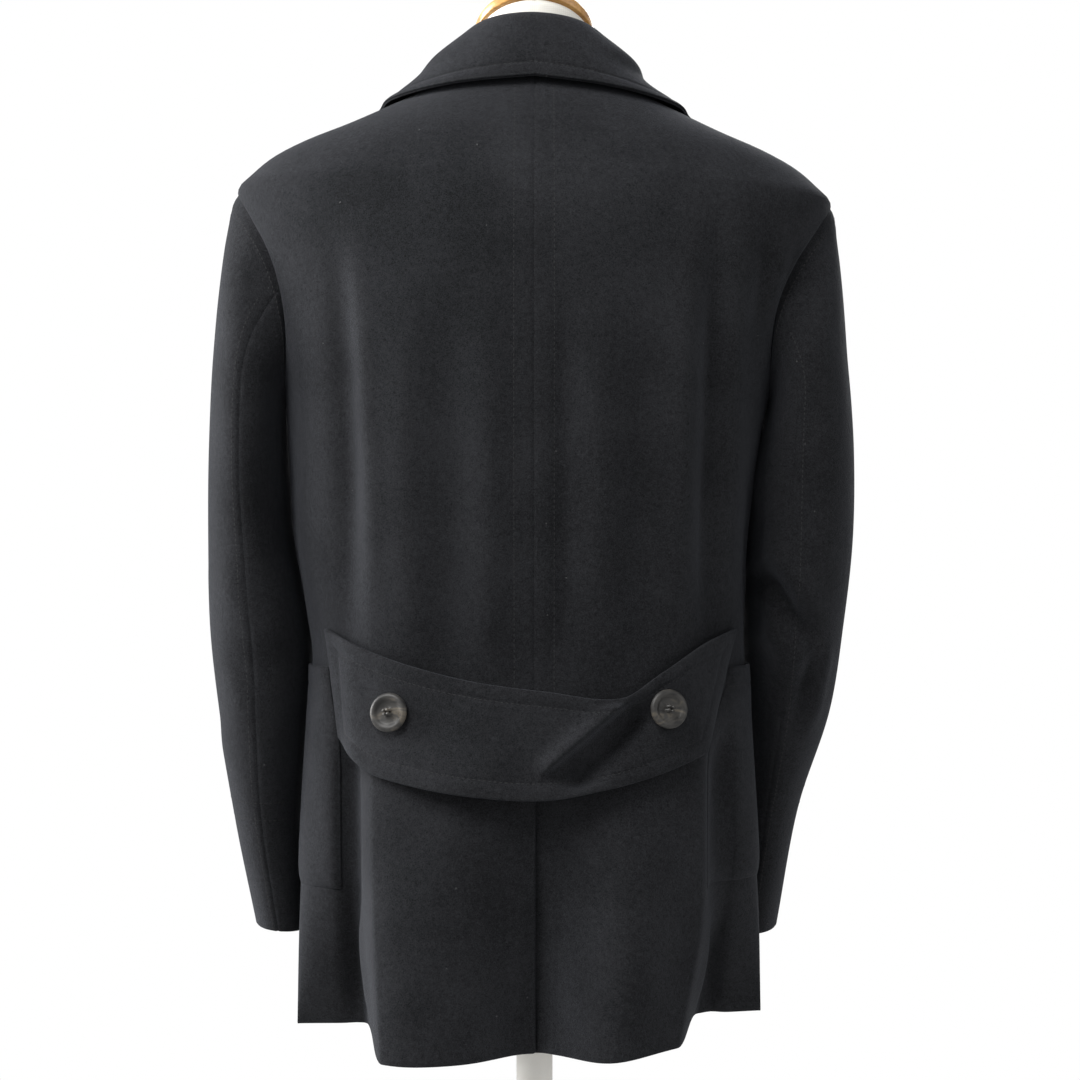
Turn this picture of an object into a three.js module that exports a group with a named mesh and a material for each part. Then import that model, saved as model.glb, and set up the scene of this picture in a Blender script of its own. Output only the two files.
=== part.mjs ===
// A double-breasted pea coat, closed, on a limbless dress form that stands on a pole and a round base.
// Millimetres, +Z up. The origin is on the floor under the pole, the front of the coat faces -Y
// and the wearer's left side is +X. Run: node, with the packages three and manifold-3d.
import * as THREE from 'three';
import { mergeVertices } from 'three/addons/utils/BufferGeometryUtils.js';

const { clamp, lerp, smoothstep, degToRad } = THREE.MathUtils;

// Cloth
const CLOTH = 2.4;              // one layer of felted wool
const TWO_PLY = 3.2;            // belt and collar, two layers pressed together
const SEAM_GAP = 0.3;
const LAYER_GAP = 0.6;          // between a panel and the layer that lies on it

// Heights of the coat above the floor
const HEM = 630;
const VENT_TOP = 868;
const WAIST = 914;
const ARMPIT = 1150;
const SHOULDER = 1318;
const NAPE = 1408;

// Heights of the rows of a panel under the armhole and over the shoulder point
const ROWS_BELOW = [HEM, 680, 735, 790, 835, 856, 868, 880, 905, 940, 980, 1030, 1080, 1122];
const ROWS_ABOVE = [1328, 1343, 1356, 1369, 1384, 1395, NAPE];
const ARM_STEPS = 10;           // rows of the armhole, half as many as the sleeve has columns

// Sections of the body: half width, depths to the back and to the front, and how much closer the
// right side hangs
const BODY = [
  { z: 630, half: 196.5, back: 153, front: 142, tuck: 9 },
  { z: 710, half: 195, back: 143, front: 140, tuck: 9 },
  { z: 797, half: 191, back: 128, front: 137, tuck: 9.5 },
  { z: 880, half: 186, back: 113, front: 133, tuck: 9.5 },
  { z: 914, half: 184, back: 108, front: 131, tuck: 8.5 },
  { z: 945, half: 184.5, back: 108, front: 130, tuck: 11 },
  { z: 980, half: 191, back: 113, front: 132, tuck: 16 },
  { z: 1032, half: 200, back: 121, front: 135, tuck: 23 },
  { z: 1114, half: 204, back: 129, front: 138, tuck: 17 },
  { z: 1150, half: 206, back: 131, front: 138, tuck: 12 },
  { z: 1187, half: 212, back: 132, front: 136, tuck: 10 },
  { z: 1230, half: 221, back: 131, front: 132, tuck: 6.5 },
  { z: 1266, half: 231, back: 128, front: 127, tuck: 2 },
  { z: 1290, half: 239, back: 124, front: 122, tuck: 0.5 },
  { z: 1318, half: 245, back: 117, front: 116, tuck: 0 },
  { z: 1328, half: 236, back: 113, front: 112, tuck: 0 },
  { z: 1343, half: 218, back: 106, front: 106, tuck: 0 },
  { z: 1356, half: 193, back: 99, front: 98, tuck: 0 },
  { z: 1369, half: 160, back: 91, front: 88, tuck: 0 },
  { z: 1384, half: 126, back: 80, front: 74, tuck: 0 },
  { z: 1395, half: 103, back: 70, front: 62, tuck: 0 },
  { z: 1408, half: 80, back: 56, front: 46, tuck: 0 },
];
const ROUNDNESS = 2.4;          // exponent of the body's sections, 2 is an ellipse
const SLEEVE_ROUNDNESS = 2.2;

// The back is pressed into a box: its corner's place, the crispness of the fold outside it and how
// far the flank beyond it falls back towards FLANK
const BOX = [
  { z: 630, left: 117, right: 112, wall: 24, share: 1.0, crest: 12 },
  { z: 735, left: 123, right: 131, wall: 28, share: 0.60, crest: 9 },
  { z: 850, left: 125, right: 131, wall: 28, share: 0.26, crest: 5 },
  { z: 945, left: 127, right: 130, wall: 26, share: 0.10, crest: 3 },
  { z: 1068, left: 127, right: 134, wall: 24, share: 0.08, crest: 3 },
  { z: 1172, left: 133, right: 140, wall: 24, share: 0.05, crest: 2 },
  { z: 1276, left: 140, right: 146, wall: 26, share: 0.02, crest: 0 },
  { z: 1310, left: 142, right: 147, wall: 26, share: 0.0, crest: 0 },
];
const FLANK = 6;                // depth that the flank falls back to
const CREST_WIDTH = 34;
const CREST_IN = { left: 12, right: 48 };  // how far in from the corner the cloth stands out most
const CORNER_LIMIT = 0.74;      // the corner's place as a share of the half width, at most
const VENT_DIP = 44;            // the cloth sinks to the vent at the hem
const VENT_DIP_WIDTH = 40;
const RIGHT_SHALLOWER = 0.13;   // the right half of the skirt stands out less
const RIGHT_SHOULDER_DROP = 11;
const RIGHT_HEM_LIFT = 14;

// Vent and front overlap
const VENT_GAP = 2.4;           // the vent's underlap hangs free of the left half
const LAP_RAMP = 16;
const FRONT_LAP = 92;           // each front passes the centre by this
const FRONT_RAMP = 26;
const BREAK_HEIGHT = 1262;      // where the lapels start to turn
const ROLL_TOP = { x: 66, z: NAPE };
const CROSSING = 1348;          // where the two front edges cross

// Armholes: how far the seam runs in from the side, as an angle of the section
const ARMHOLE_BACK = 27;
const ARMHOLE_FRONT = 30;

// Sleeves: the outer and the inner line, half the depth and the place of the middle along Y
const SLEEVE_LEFT = [
  { at: 0.0, outerX: 245, outerZ: 1318, innerX: 206, innerZ: 1150, deep: 80, middle: 0 },
  { at: 0.05, outerX: 253, outerZ: 1290, innerX: 207.5, innerZ: 1138, deep: 80, middle: -1 },
  { at: 0.12, outerX: 259, outerZ: 1250, innerX: 206.5, innerZ: 1112, deep: 79, middle: -5 },
  { at: 0.22, outerX: 266, outerZ: 1186, innerX: 205, innerZ: 1078, deep: 78, middle: -11 },
  { at: 0.34, outerX: 271, outerZ: 1105, innerX: 202.5, innerZ: 1036, deep: 75, middle: -16 },
  { at: 0.46, outerX: 272.5, outerZ: 1030, innerX: 195.5, innerZ: 990, deep: 72, middle: -20 },
  { at: 0.58, outerX: 272, outerZ: 955, innerX: 187, innerZ: 940, deep: 69, middle: -26 },
  { at: 0.7, outerX: 265, outerZ: 880, innerX: 190.5, innerZ: 878, deep: 67, middle: -36 },
  { at: 0.85, outerX: 255, outerZ: 794, innerX: 195, innerZ: 792, deep: 64, middle: -54 },
  { at: 1.0, outerX: 240.5, outerZ: 704, innerX: 190, innerZ: 700, deep: 62, middle: -78 },
];
const SLEEVE_RIGHT = [
  { at: 0.0, outerX: 245, outerZ: 1307, innerX: 194.5, innerZ: 1150, deep: 80, middle: 0 },
  { at: 0.05, outerX: 250, outerZ: 1280, innerX: 194.5, innerZ: 1138, deep: 80, middle: -1 },
  { at: 0.12, outerX: 254.5, outerZ: 1240, innerX: 190, innerZ: 1112, deep: 79, middle: -4 },
  { at: 0.22, outerX: 260, outerZ: 1176, innerX: 183.5, innerZ: 1078, deep: 78, middle: -9 },
  { at: 0.34, outerX: 266, outerZ: 1105, innerX: 178.4, innerZ: 1036, deep: 75, middle: -14 },
  { at: 0.46, outerX: 266.5, outerZ: 1032, innerX: 177.2, innerZ: 990, deep: 73, middle: -22 },
  { at: 0.58, outerX: 261, outerZ: 960, innerX: 178, innerZ: 940, deep: 72, middle: -38 },
  { at: 0.7, outerX: 252.5, outerZ: 885, innerX: 179.5, innerZ: 880, deep: 69, middle: -62 },
  { at: 0.85, outerX: 230, outerZ: 797, innerX: 180, innerZ: 794, deep: 65, middle: -102 },
  { at: 1.0, outerX: 215.5, outerZ: 692, innerX: 170, innerZ: 686, deep: 62, middle: -136 },
];
const SLEEVE_RINGS = [0, 0.05, 0.12, 0.22, 0.34, 0.46, 0.54, 0.62, 0.7, 0.78, 0.85, 0.93, 1.0];
// Columns of the sleeves' seams, counted from the outer line over the back; the right arm turns out
const BACK_SEAM_STEP = { left: 5, right: 6 };
const FRONT_SEAM_STEP = { left: 14, right: 15 };

// Collar: the crease line round the neck and the fall's edge on the body
const CREASE = { side: 61, back: 54, front: 62, top: 1456, drop: 18, curve: 1.3 };
const COLLAR_END = 132;         // angle where each front end of the collar stops
const COLLAR_STEPS = 24;
const COLLAR_SIDE_SUNK = { left: 6, right: 11 };   // how far the fall's sides curve in below the crease
const FALL_EDGE = [
  { angle: 0, z: 1396, stand: 9 },
  { angle: 30, z: 1392, stand: 8 },
  { angle: 60, z: 1386, stand: 6 },
  { angle: 90, z: 1384, stand: 5 },
  { angle: 112, z: 1374, stand: 4.5 },
  { angle: 132, z: 1356, stand: 4.5 },
];

// Half belt: its edges from the left end to the right end
const BELT = [
  { at: 0.0, topX: 166, topZ: 958, lowX: 155, lowZ: 872, off: -0.3 },
  { at: 0.12, topX: 132, topZ: 944, lowX: 130, lowZ: 850, off: 5 },
  { at: 0.25, topX: 95, topZ: 931, lowX: 100, lowZ: 840, off: 9 },
  { at: 0.4, topX: 45, topZ: 918, lowX: 50, lowZ: 831, off: 13 },
  { at: 0.55, topX: -8, topZ: 910, lowX: -8, lowZ: 828, off: 15 },
  { at: 0.7, topX: -64, topZ: 904, lowX: -58, lowZ: 837, off: 13 },
  { at: 0.8, topX: -96, topZ: 924, lowX: -90, lowZ: 846, off: 9 },
  { at: 0.9, topX: -132, topZ: 948, lowX: -113, lowZ: 854, off: 5 },
  { at: 1.0, topX: -160, topZ: 958, lowX: -134, lowZ: 862, off: 0.6 },
];
const BELT_STEPS = 26;

// Buttons
const BUTTON = { radius: 15.4, rim: 5.4, dish: 3.6, edge: 3.2, sides: 18, shank: 1.6, sunk: -0.2 };
const BELT_BUTTONS = [
  { name: 'back_button_left', x: 112, z: 893 },
  { name: 'back_button_right', x: -104, z: 898 },
];
const FRONT_BUTTON_X = 74;
const FRONT_BUTTON_ROWS = [1218, 1098, 978];

// Patch pockets, from beside the belt's ends over the flank to the front
const POCKET = {
  left: { lowX: 158, highX: 166 }, right: { lowX: 141, highX: 157 }, turn: 868, to: 141, low: 748, high: 927,
  steps: 11, rows: 6, foldWidth: 30, slack: 4.2,
};

// Lapels, folded back from the roll line
const LAPEL = { width: 74, rows: 7, columns: 4, top: 0.87, liftLeft: 4.4, liftRight: 3.4 };

// Dress form
const FORM = [
  { z: 802, half: 156, back: 96, front: 96 },
  { z: 870, half: 158, back: 97, front: 98 },
  { z: 935, half: 142, back: 86, front: 90 },
  { z: 1000, half: 132, back: 80, front: 88 },
  { z: 1090, half: 146, back: 92, front: 102 },
  { z: 1180, half: 164, back: 106, front: 112 },
  { z: 1250, half: 184, back: 106, front: 106 },
  { z: 1300, half: 198, back: 100, front: 98 },
];
const FORM_SIDES = 28;
const FORM_SHOULDER_TUCK = 9;   // the form's shoulder falls away from the cloth in front and behind
const NECK = { radius: 48, foot: 1401.5, back: 32, height: 1459.5, slant: 0.53, cap: 8, lip: 2.4 };
const BOARD = { thick: 12, inset: 3 };
const FLANGE = { radius: 42, thick: 9 };
const POLE_RADIUS = 15;
const BASE = { radius: 190, thick: 15, hub: 32, hubHeight: 34 };

// Materials
const WOOL = new THREE.MeshStandardMaterial({ color: 0x22252b, roughness: 0.95, metalness: 0 });
const HORN = new THREE.MeshStandardMaterial({ color: 0x4a4440, roughness: 0.4, metalness: 0 });
const COTTON = new THREE.MeshStandardMaterial({ color: 0xece8df, roughness: 0.9, metalness: 0 });
const WOOD = new THREE.MeshStandardMaterial({ color: 0xb0742c, roughness: 0.35, metalness: 0 });
const PAINT = new THREE.MeshStandardMaterial({ color: 0xe6e3dc, roughness: 0.5, metalness: 0.1 });

const coat = new THREE.Group();

// A column of a table at a height or place, on a smooth curve through its rows
function lookUp(table, key, place, by = 'z') {
  const last = table.length - 1;
  if (place <= table[0][by]) return table[0][key];
  if (place >= table[last][by]) return table[last][key];
  const i = table.findIndex((row, k) => k < last && place < table[k + 1][by]);
  const slope = (k) => {
    const a = table[Math.max(k - 1, 0)];
    const b = table[Math.min(k + 1, last)];
    return (b[key] - a[key]) / (b[by] - a[by]);
  };
  const span = table[i + 1][by] - table[i][by];
  const t = (place - table[i][by]) / span;
  const [p, q] = [table[i][key], table[i + 1][key]];
  const t2 = t * t;
  const t3 = t2 * t;
  return (2 * t3 - 3 * t2 + 1) * p + (t3 - 2 * t2 + t) * span * slope(i)
    + (3 * t2 - 2 * t3) * q + (t3 - t2) * span * slope(i + 1);
}

// Radius factor of a superellipse in the direction with this sine and cosine
function squareness(sine, cosine, exponent) {
  return (Math.abs(sine) ** exponent + Math.abs(cosine) ** exponent) ** (-1 / exponent);
}

// The right shoulder sits lower and the right hem higher than the left
function settle(point) {
  const right = clamp(-point.x / 245, 0, 1);
  point.z += RIGHT_HEM_LIFT * right * (1 - smoothstep(point.z, HEM, WAIST))
    - RIGHT_SHOULDER_DROP * right * smoothstep(point.z, ARMPIT, SHOULDER);
  return point;
}

// Half width of the body on one side at a height
function halfWidth(z, side) {
  return lookUp(BODY, 'half', z) - (side < 0 ? lookUp(BODY, 'tuck', z) : 0);
}

// How far from the centre the back's box turns its corner
function cornerPlace(z, side) {
  return Math.min(lookUp(BOX, side > 0 ? 'left' : 'right', z), CORNER_LIMIT * halfWidth(z, side));
}

// A point of the coat's outer surface. The angle runs from the centre back to the front, positive
// on the wearer's left; fold is the share of the box folds that is kept.
function bodyPoint(angle, z, fold = 1) {
  const side = angle < 0 ? -1 : 1;
  const [sine, cosine] = [Math.sin(angle), Math.cos(angle)];
  const reach = squareness(sine, cosine, ROUNDNESS);
  const x = halfWidth(z, side) * sine * reach;
  const skirt = 1 - smoothstep(z, HEM, WAIST);
  let y = cosine * reach * lookUp(BODY, cosine > 0 ? 'back' : 'front', z);
  if (cosine > 0) {
    const away = Math.abs(x);
    const corner = cornerPlace(z, side);
    const share = lookUp(BOX, 'share', z) * fold;
    const crestIn = side > 0 ? CREST_IN.left : CREST_IN.right;
    y *= 1 - RIGHT_SHALLOWER * skirt * smoothstep(-x, 40, 125) * smoothstep(y, 0, 60);
    y += lookUp(BOX, 'crest', z) * fold * Math.exp(-(((away - corner + crestIn) / CREST_WIDTH) ** 2));
    const fallen = Math.min(y, FLANK);
    y = lerp(y, fallen, share * smoothstep(away, corner, corner + lookUp(BOX, 'wall', z)));
    y -= VENT_DIP * skirt * fold * Math.exp(-((x / VENT_DIP_WIDTH) ** 2));
  }
  return settle(new THREE.Vector3(x, y, z));
}

// Outward direction of a surface at a place, from small steps either way
function directionOut(surface, u, v, stepU = 0.004, stepV = 0.8) {
  const along = surface(u + stepU, v).sub(surface(u - stepU, v));
  const up = surface(u, v + stepV).sub(surface(u, v - stepV));
  return along.cross(up).normalize();
}

// Angle of the section at which the body reaches a given x, at the back or at the front
function angleAt(x, z, front = false) {
  const side = Math.sign(x) || 1;
  const share = clamp(Math.abs(x) / halfWidth(z, side), 0, 0.9999);
  const depth = (1 - share ** ROUNDNESS) ** (1 / ROUNDNESS);
  return side * Math.atan2(share, front ? -depth : depth);
}

// A closed wall from two grids of the same size, one for each face
function wallGeometry(outer, inner) {
  const rows = outer.length;
  const columns = outer[0].length;
  const points = [...outer.flat(), ...inner.flat()];
  const inside = rows * columns;
  const index = [];
  const quad = (a, b, c, d) => index.push(a, b, c, a, c, d);
  for (let i = 0; i < rows - 1; i++) {
    for (let j = 0; j < columns - 1; j++) {
      const a = i * columns + j;
      const [b, c, d] = [a + 1, a + columns + 1, a + columns];
      quad(a, b, c, d);
      quad(inside + a, inside + d, inside + c, inside + b);
    }
  }
  for (let i = 0; i < rows - 1; i++) {
    const a = i * columns;
    const b = a + columns - 1;
    quad(a, a + columns, inside + a + columns, inside + a);
    quad(b, inside + b, inside + b + columns, b + columns);
  }
  for (let j = 0; j < columns - 1; j++) {
    const b = (rows - 1) * columns + j;
    quad(j, inside + j, inside + j + 1, j + 1);
    quad(b, b + 1, inside + b + 1, inside + b);
  }
  const geometry = new THREE.BufferGeometry();
  geometry.setAttribute('position', new THREE.Float32BufferAttribute(points.flatMap((p) => [p.x, p.y, p.z]), 3));
  geometry.setIndex(index);
  return geometry;
}

// Turns a closed geometry's faces out when its volume comes out negative
function facedOut(geometry) {
  const place = geometry.getAttribute('position');
  const index = geometry.getIndex().array;
  const [a, b, c] = [new THREE.Vector3(), new THREE.Vector3(), new THREE.Vector3()];
  let volume = 0;
  for (let i = 0; i < index.length; i += 3) {
    a.fromBufferAttribute(place, index[i]);
    b.fromBufferAttribute(place, index[i + 1]);
    c.fromBufferAttribute(place, index[i + 2]);
    volume += a.dot(b.cross(c));
  }
  if (volume < 0) {
    for (let i = 0; i < index.length; i += 3) [index[i], index[i + 1]] = [index[i + 1], index[i]];
  }
  return geometry;
}

// Adds a named piece
function add(name, geometry, material) {
  const mesh = new THREE.Mesh(facedOut(geometry), material);
  mesh.name = name;
  coat.add(mesh);
}

// Adds a cloth piece from rows of surface points with their outward directions
function addCloth(name, rows, thickness = CLOTH) {
  const outer = rows.map((row) => row.map((s) => s.point.clone().addScaledVector(s.out, s.lift ?? 0)));
  const inner = rows.map((row) => row.map(
    (s) => s.point.clone().addScaledVector(s.out, (s.lift ?? 0) - thickness),
  ));
  add(name, wallGeometry(outer, inner), WOOL);
}

// A place on the body with its outward direction
function onBody(angle, z, lift = 0) {
  const flip = new THREE.Vector3();
  flip.copy(directionOut(bodyPoint, angle, z)).negate();
  return { point: bodyPoint(angle, z), out: flip, lift };
}

// Heights of the armhole's rows, closer together at its ends
const ARM_ROWS = Array.from({ length: ARM_STEPS + 1 },
  (_, k) => lerp(ARMPIT, SHOULDER, (1 - Math.cos(Math.PI * k / ARM_STEPS)) / 2));
const PANEL_ROWS = [...ROWS_BELOW, ...ARM_ROWS, ...ROWS_ABOVE];

// Angle of a panel's outer edge: the side seam, the armhole or the shoulder seam
function edgeAngle(z, front) {
  const gap = SEAM_GAP / 2 / lookUp(BODY, 'back', z);
  const h = clamp((z - ARMPIT) / (SHOULDER - ARMPIT), 0, 1);
  const inward = Math.sqrt(Math.max(0, 1 - Math.abs(2 * h - 1) ** 2.2));
  const run = degToRad(front ? ARMHOLE_FRONT : ARMHOLE_BACK) * inward + gap;
  return Math.PI / 2 + (front ? run : -run);
}

// Spreads a count of steps between two values
function spread(from, to, steps) {
  return Array.from({ length: steps + 1 }, (_, k) => lerp(from, to, k / steps));
}

// Angles of a back panel's columns at a height: closer together over the box fold
function backColumns(z, side, innerX) {
  const edge = edgeAngle(z, false);
  const half = halfWidth(z, side);
  const corner = cornerPlace(z, side);
  const wall = Math.min(lookUp(BOX, 'wall', z), 0.14 * half);
  const start = angleAt(innerX, z) * side;
  const [a, b] = [angleAt(corner, z), angleAt(corner + wall, z)].map((v) => Math.min(v, edge - 0.1));
  const flat = spread(start, Math.max(a, start + 0.1), 5);
  const fold = spread(Math.max(a, start + 0.1), Math.max(b, start + 0.15), 4).slice(1);
  const flank = spread(Math.max(b, start + 0.15), edge, 3).slice(1);
  return [...flat, ...fold, ...flank];
}

// Directions shared by a panel and a sleeve where their seam is a ridge, filled by armholeSeam
const seamOut = new Map();
const seamKey = (side, front, z) => `${side} ${front} ${z.toFixed(2)}`;

// Adds a half of the back; the right one runs on under the left one below the top of the vent
function addBack(side) {
  const rows = PANEL_ROWS.map((z) => {
    const columns = backColumns(z, side, side * SEAM_GAP / 2);
    const sunk = side < 0 ? (CLOTH + VENT_GAP) * (1 - smoothstep(z, VENT_TOP - 12, VENT_TOP)) : 0;
    if (side < 0) {
      // The underlap ends under the left half's second column, so that both bend alike
      const under = 1 - smoothstep(z, VENT_TOP - 24, VENT_TOP - 12);
      const reach = backColumns(z, 1, SEAM_GAP / 2)[1];
      columns.splice(0, 1, lerp(columns[0], -reach, under), -angleAt(-1.2, z), -angleAt(-LAP_RAMP, z));
    }
    return columns.map((column, j) => {
      const place = onBody(side * column, z);
      place.lift = -sunk * smoothstep(place.point.x, -LAP_RAMP, -1);
      const key = seamKey(side, false, z);
      if (j === columns.length - 1 && seamOut.has(key)) place.out = seamOut.get(key);
      return place;
    });
  });
  addCloth(side > 0 ? 'back_left' : 'back_right', rows);
}

// Where a front ends: at the edge of the overlap, and above the break along the roll line
function frontEdgeX(z) {
  if (z <= BREAK_HEIGHT) return -FRONT_LAP;
  return lerp(-FRONT_LAP, ROLL_TOP.x, (z - BREAK_HEIGHT) / (ROLL_TOP.z - BREAK_HEIGHT));
}

// How far the left front is lifted to lie on the right one, up to where their edges cross
function overlapLift(x, z) {
  const across = 1 - smoothstep(x, FRONT_LAP + 4, FRONT_LAP + 4 + FRONT_RAMP);
  return (CLOTH + LAYER_GAP + 0.6) * across * (1 - smoothstep(z, CROSSING, CROSSING + 24));
}

// A place on the front at an x and a height, on the wearer's own side of it
function onFront(side, x, z, lift = 0) {
  const angle = angleAt(x * side, z, true);
  const place = onBody(angle, z, lift);
  place.lift += side > 0 ? overlapLift(x, z) : 0;
  return place;
}

// Adds a front; the left one lies over the right one
function addFront(side) {
  const rows = PANEL_ROWS.map((z) => {
    const edge = edgeAngle(z, true);
    const edgeX = Math.abs(bodyPoint(side * edge, z).x);
    const free = frontEdgeX(z);
    const inner = spread(free, Math.min(FRONT_LAP, lerp(free, edgeX, 0.7)), 4);
    const middle = Math.min(FRONT_LAP + FRONT_RAMP + 6, lerp(inner[4], edgeX, 0.5));
    const xs = [...inner, ...spread(inner[4], middle, 2).slice(1)];
    const last = angleAt(middle, z, true);
    const places = xs.map((x) => onFront(side, x, z));
    const round = spread(last, edge, 3).slice(1).map((a) => {
      const place = onBody(side * a, z);
      place.lift = side > 0 ? overlapLift(Math.abs(place.point.x), z) : 0;
      return place;
    });
    const key = seamKey(side, true, z);
    if (seamOut.has(key)) round[2].out = seamOut.get(key);
    round[2].lift = 0;
    return [...places, ...round];
  });
  addCloth(side > 0 ? 'front_left' : 'front_right', rows);
}

// A point of a sleeve: turn runs from the outer line over the back to the inner line and on
function sleevePoint(table, side, turn, along) {
  const value = (key) => lookUp(table, key, along, 'at');
  const [sine, cosine] = [Math.sin(turn), Math.cos(turn)];
  const reach = squareness(sine, cosine, SLEEVE_ROUNDNESS);
  const x = lerp(value('innerX'), value('outerX'), (1 + cosine * reach) / 2);
  const z = lerp(value('innerZ'), value('outerZ'), (1 + cosine * reach) / 2);
  return new THREE.Vector3(side * x, value('middle') + value('deep') * sine * reach, z);
}

// The armhole's corner for a column of the sleeve, on the body
function armholePlace(side, step) {
  const front = step > ARM_STEPS;
  const k = front ? step - ARM_STEPS : ARM_STEPS - step;
  const z = ARM_ROWS[k];
  return { angle: side * edgeAngle(z, front && k > 0 && k < ARM_STEPS), z, front };
}

// Adds the two pieces of a sleeve, which start at the armhole's own corners
function addSleeve(side) {
  const table = side > 0 ? SLEEVE_LEFT : SLEEVE_RIGHT;
  const name = side > 0 ? 'left' : 'right';
  const round = 2 * ARM_STEPS;
  const turnOf = (step) => Math.PI * step / ARM_STEPS;
  const corner = (step) => {
    const { angle, z } = armholePlace(side, ((step % round) + round) % round);
    return onBody(angle, z);
  };
  // The sleeve leans on the armhole's true shape near the seam and on the table further down
  const surface = (step, along) => {
    const own = sleevePoint(table, side, turnOf(step), along);
    const whole = Math.round(step);
    const start = corner(whole).point.sub(sleevePoint(table, side, turnOf(whole), 0));
    return own.addScaledVector(start, (1 - smoothstep(along, 0, 0.2)) ** 2);
  };
  const outOf = (step, along) => {
    const ahead = surface(Math.round(step) + 1, along).sub(surface(Math.round(step) - 1, along));
    const a = Math.max(along - 0.02, 0);
    const up = surface(step, a).sub(surface(step, Math.min(along + 0.02, 1)));
    const out = ahead.cross(up).normalize();
    return side > 0 ? out : out.negate();
  };
  const grid = (from, to) => SLEEVE_RINGS.map((along) => Array.from({ length: to - from + 1 }, (_, j) => {
    const step = from + j;
    const seam = SEAM_GAP / 2 * (j === 0 ? 1 : j === to - from ? -1 : 0);
    const point = surface(step, along);
    let out = outOf(step, along);
    if (seam) {
      const ahead = surface(step + 1, along).sub(surface(step - 1, along)).normalize();
      point.addScaledVector(ahead, seam);
    }
    if (along === 0) {
      const body = corner(step);
      const down = surface(step, 0.05).sub(body.point).normalize();
      const seamRun = corner(step + 1).point.sub(corner(step - 1).point).normalize();
      const across = down.clone().addScaledVector(seamRun, -down.dot(seamRun));
      const rise = across.dot(body.out);
      const beside = across.clone().addScaledVector(body.out, -rise);
      if (rise < 0) {
        out = body.out.clone().add(out).normalize();
        const { z, front } = armholePlace(side, ((step % round) + round) % round);
        seamOut.set(seamKey(side, front, z), out);
        if (step === 0) seamOut.set(seamKey(side, true, z), out);
      }
      const move = beside.multiplyScalar(rise > 0.8 ? 0 : 1).addScaledVector(body.out, Math.max(rise, 0) + 0.2);
      point.addScaledVector(move.normalize(), SEAM_GAP + 0.1);
    }
    return { point, out };
  }));
  const top = grid(FRONT_SEAM_STEP[name] - round, BACK_SEAM_STEP[name]);
  const under = grid(BACK_SEAM_STEP[name], FRONT_SEAM_STEP[name]);
  addCloth(`sleeve_${name}_top`, top);
  addCloth(`sleeve_${name}_under`, under);
}

// The neck seam and the crease line of the collar, as rings round the neck
function neckPoint(angle, inward, z) {
  const section = bodyPoint(angle, NAPE);
  const shrink = 1 - inward / Math.hypot(section.x, section.y);
  return new THREE.Vector3(section.x * shrink, section.y * shrink, section.z + z);
}

function creasePoint(angle, inward = 0, below = 0) {
  const [sine, cosine] = [Math.sin(angle), Math.cos(angle)];
  const depth = cosine > 0 ? CREASE.back : CREASE.front;
  return settle(new THREE.Vector3(
    (CREASE.side - inward) * sine,
    (depth - inward) * cosine,
    CREASE.top - CREASE.drop * (1 - cosine) ** CREASE.curve - below,
  ));
}

// Moves a point out along its bearing until it is clear of the body by a margin
function clearOfBody(point, margin) {
  const half = halfWidth(point.z, Math.sign(point.x) || 1);
  const depth = lookUp(BODY, point.y > 0 ? 'back' : 'front', point.z);
  const section = bodyPoint(Math.atan2(point.x / half, point.y / depth), point.z);
  const [have, need] = [Math.hypot(point.x, point.y), Math.hypot(section.x, section.y) + margin];
  if (have < need) [point.x, point.y] = [point.x * need / have, point.y * need / have];
  return point;
}

// Adds the collar: a stand inside and a fall that turns over it and spreads on the shoulders
function addCollar() {
  const angles = spread(-COLLAR_END, COLLAR_END, COLLAR_STEPS).map(degToRad);
  const up = new THREE.Vector3(0, 0, 1);
  const outward = (angle) => new THREE.Vector3(Math.sin(angle), Math.cos(angle), 0);
  const stand = angles.map((angle) => {
    const out = outward(angle);
    const foot = neckPoint(angle, CLOTH + 1.2, LAYER_GAP + 0.4);
    const top = creasePoint(angle, 4, 4.5);
    const lean = (tilt) => out.clone().multiplyScalar(-1).addScaledVector(up, tilt).normalize();
    const crest = creasePoint(angle).addScaledVector(out, -SEAM_GAP / 2);
    return [
      { point: foot, out: lean(0) },
      { point: foot.clone().lerp(top, 0.5), out: lean(0) },
      { point: top, out: lean(0.5) },
      { point: crest, out: up },
    ];
  });
  const fall = angles.map((angle) => {
    const out = outward(angle);
    const bearing = Math.abs(THREE.MathUtils.radToDeg(angle));
    const crest = creasePoint(angle).addScaledVector(out, SEAM_GAP / 2);
    const shoulder = creasePoint(angle, -6, 4.5);
    const edgeZ = lookUp(FALL_EDGE, 'z', bearing, 'angle');
    const edge = onBody(angle, edgeZ);
    edge.point.addScaledVector(edge.out, lookUp(FALL_EDGE, 'stand', bearing, 'angle'));
    const sunk = COLLAR_SIDE_SUNK[angle > 0 ? 'left' : 'right'] * Math.sin(angle) ** 2;
    const lower = (share, bulge) => {
      const point = clearOfBody(shoulder.clone().lerp(edge.point, share).addScaledVector(out, bulge), 7);
      return { point, out: out.clone().addScaledVector(up, 0.55).normalize() };
    };
    return [
      { point: crest, out: up },
      { point: shoulder, out: out.clone().addScaledVector(up, 0.9).normalize() },
      lower(0.3, 3 - sunk),
      lower(0.6, 3 - sunk),
      lower(0.85, 1 - sunk / 2),
      { point: edge.point, out: edge.out },
    ];
  });
  addCloth('collar_stand', stand, TWO_PLY);
  addCloth('collar_fall', fall, TWO_PLY);
}

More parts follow.
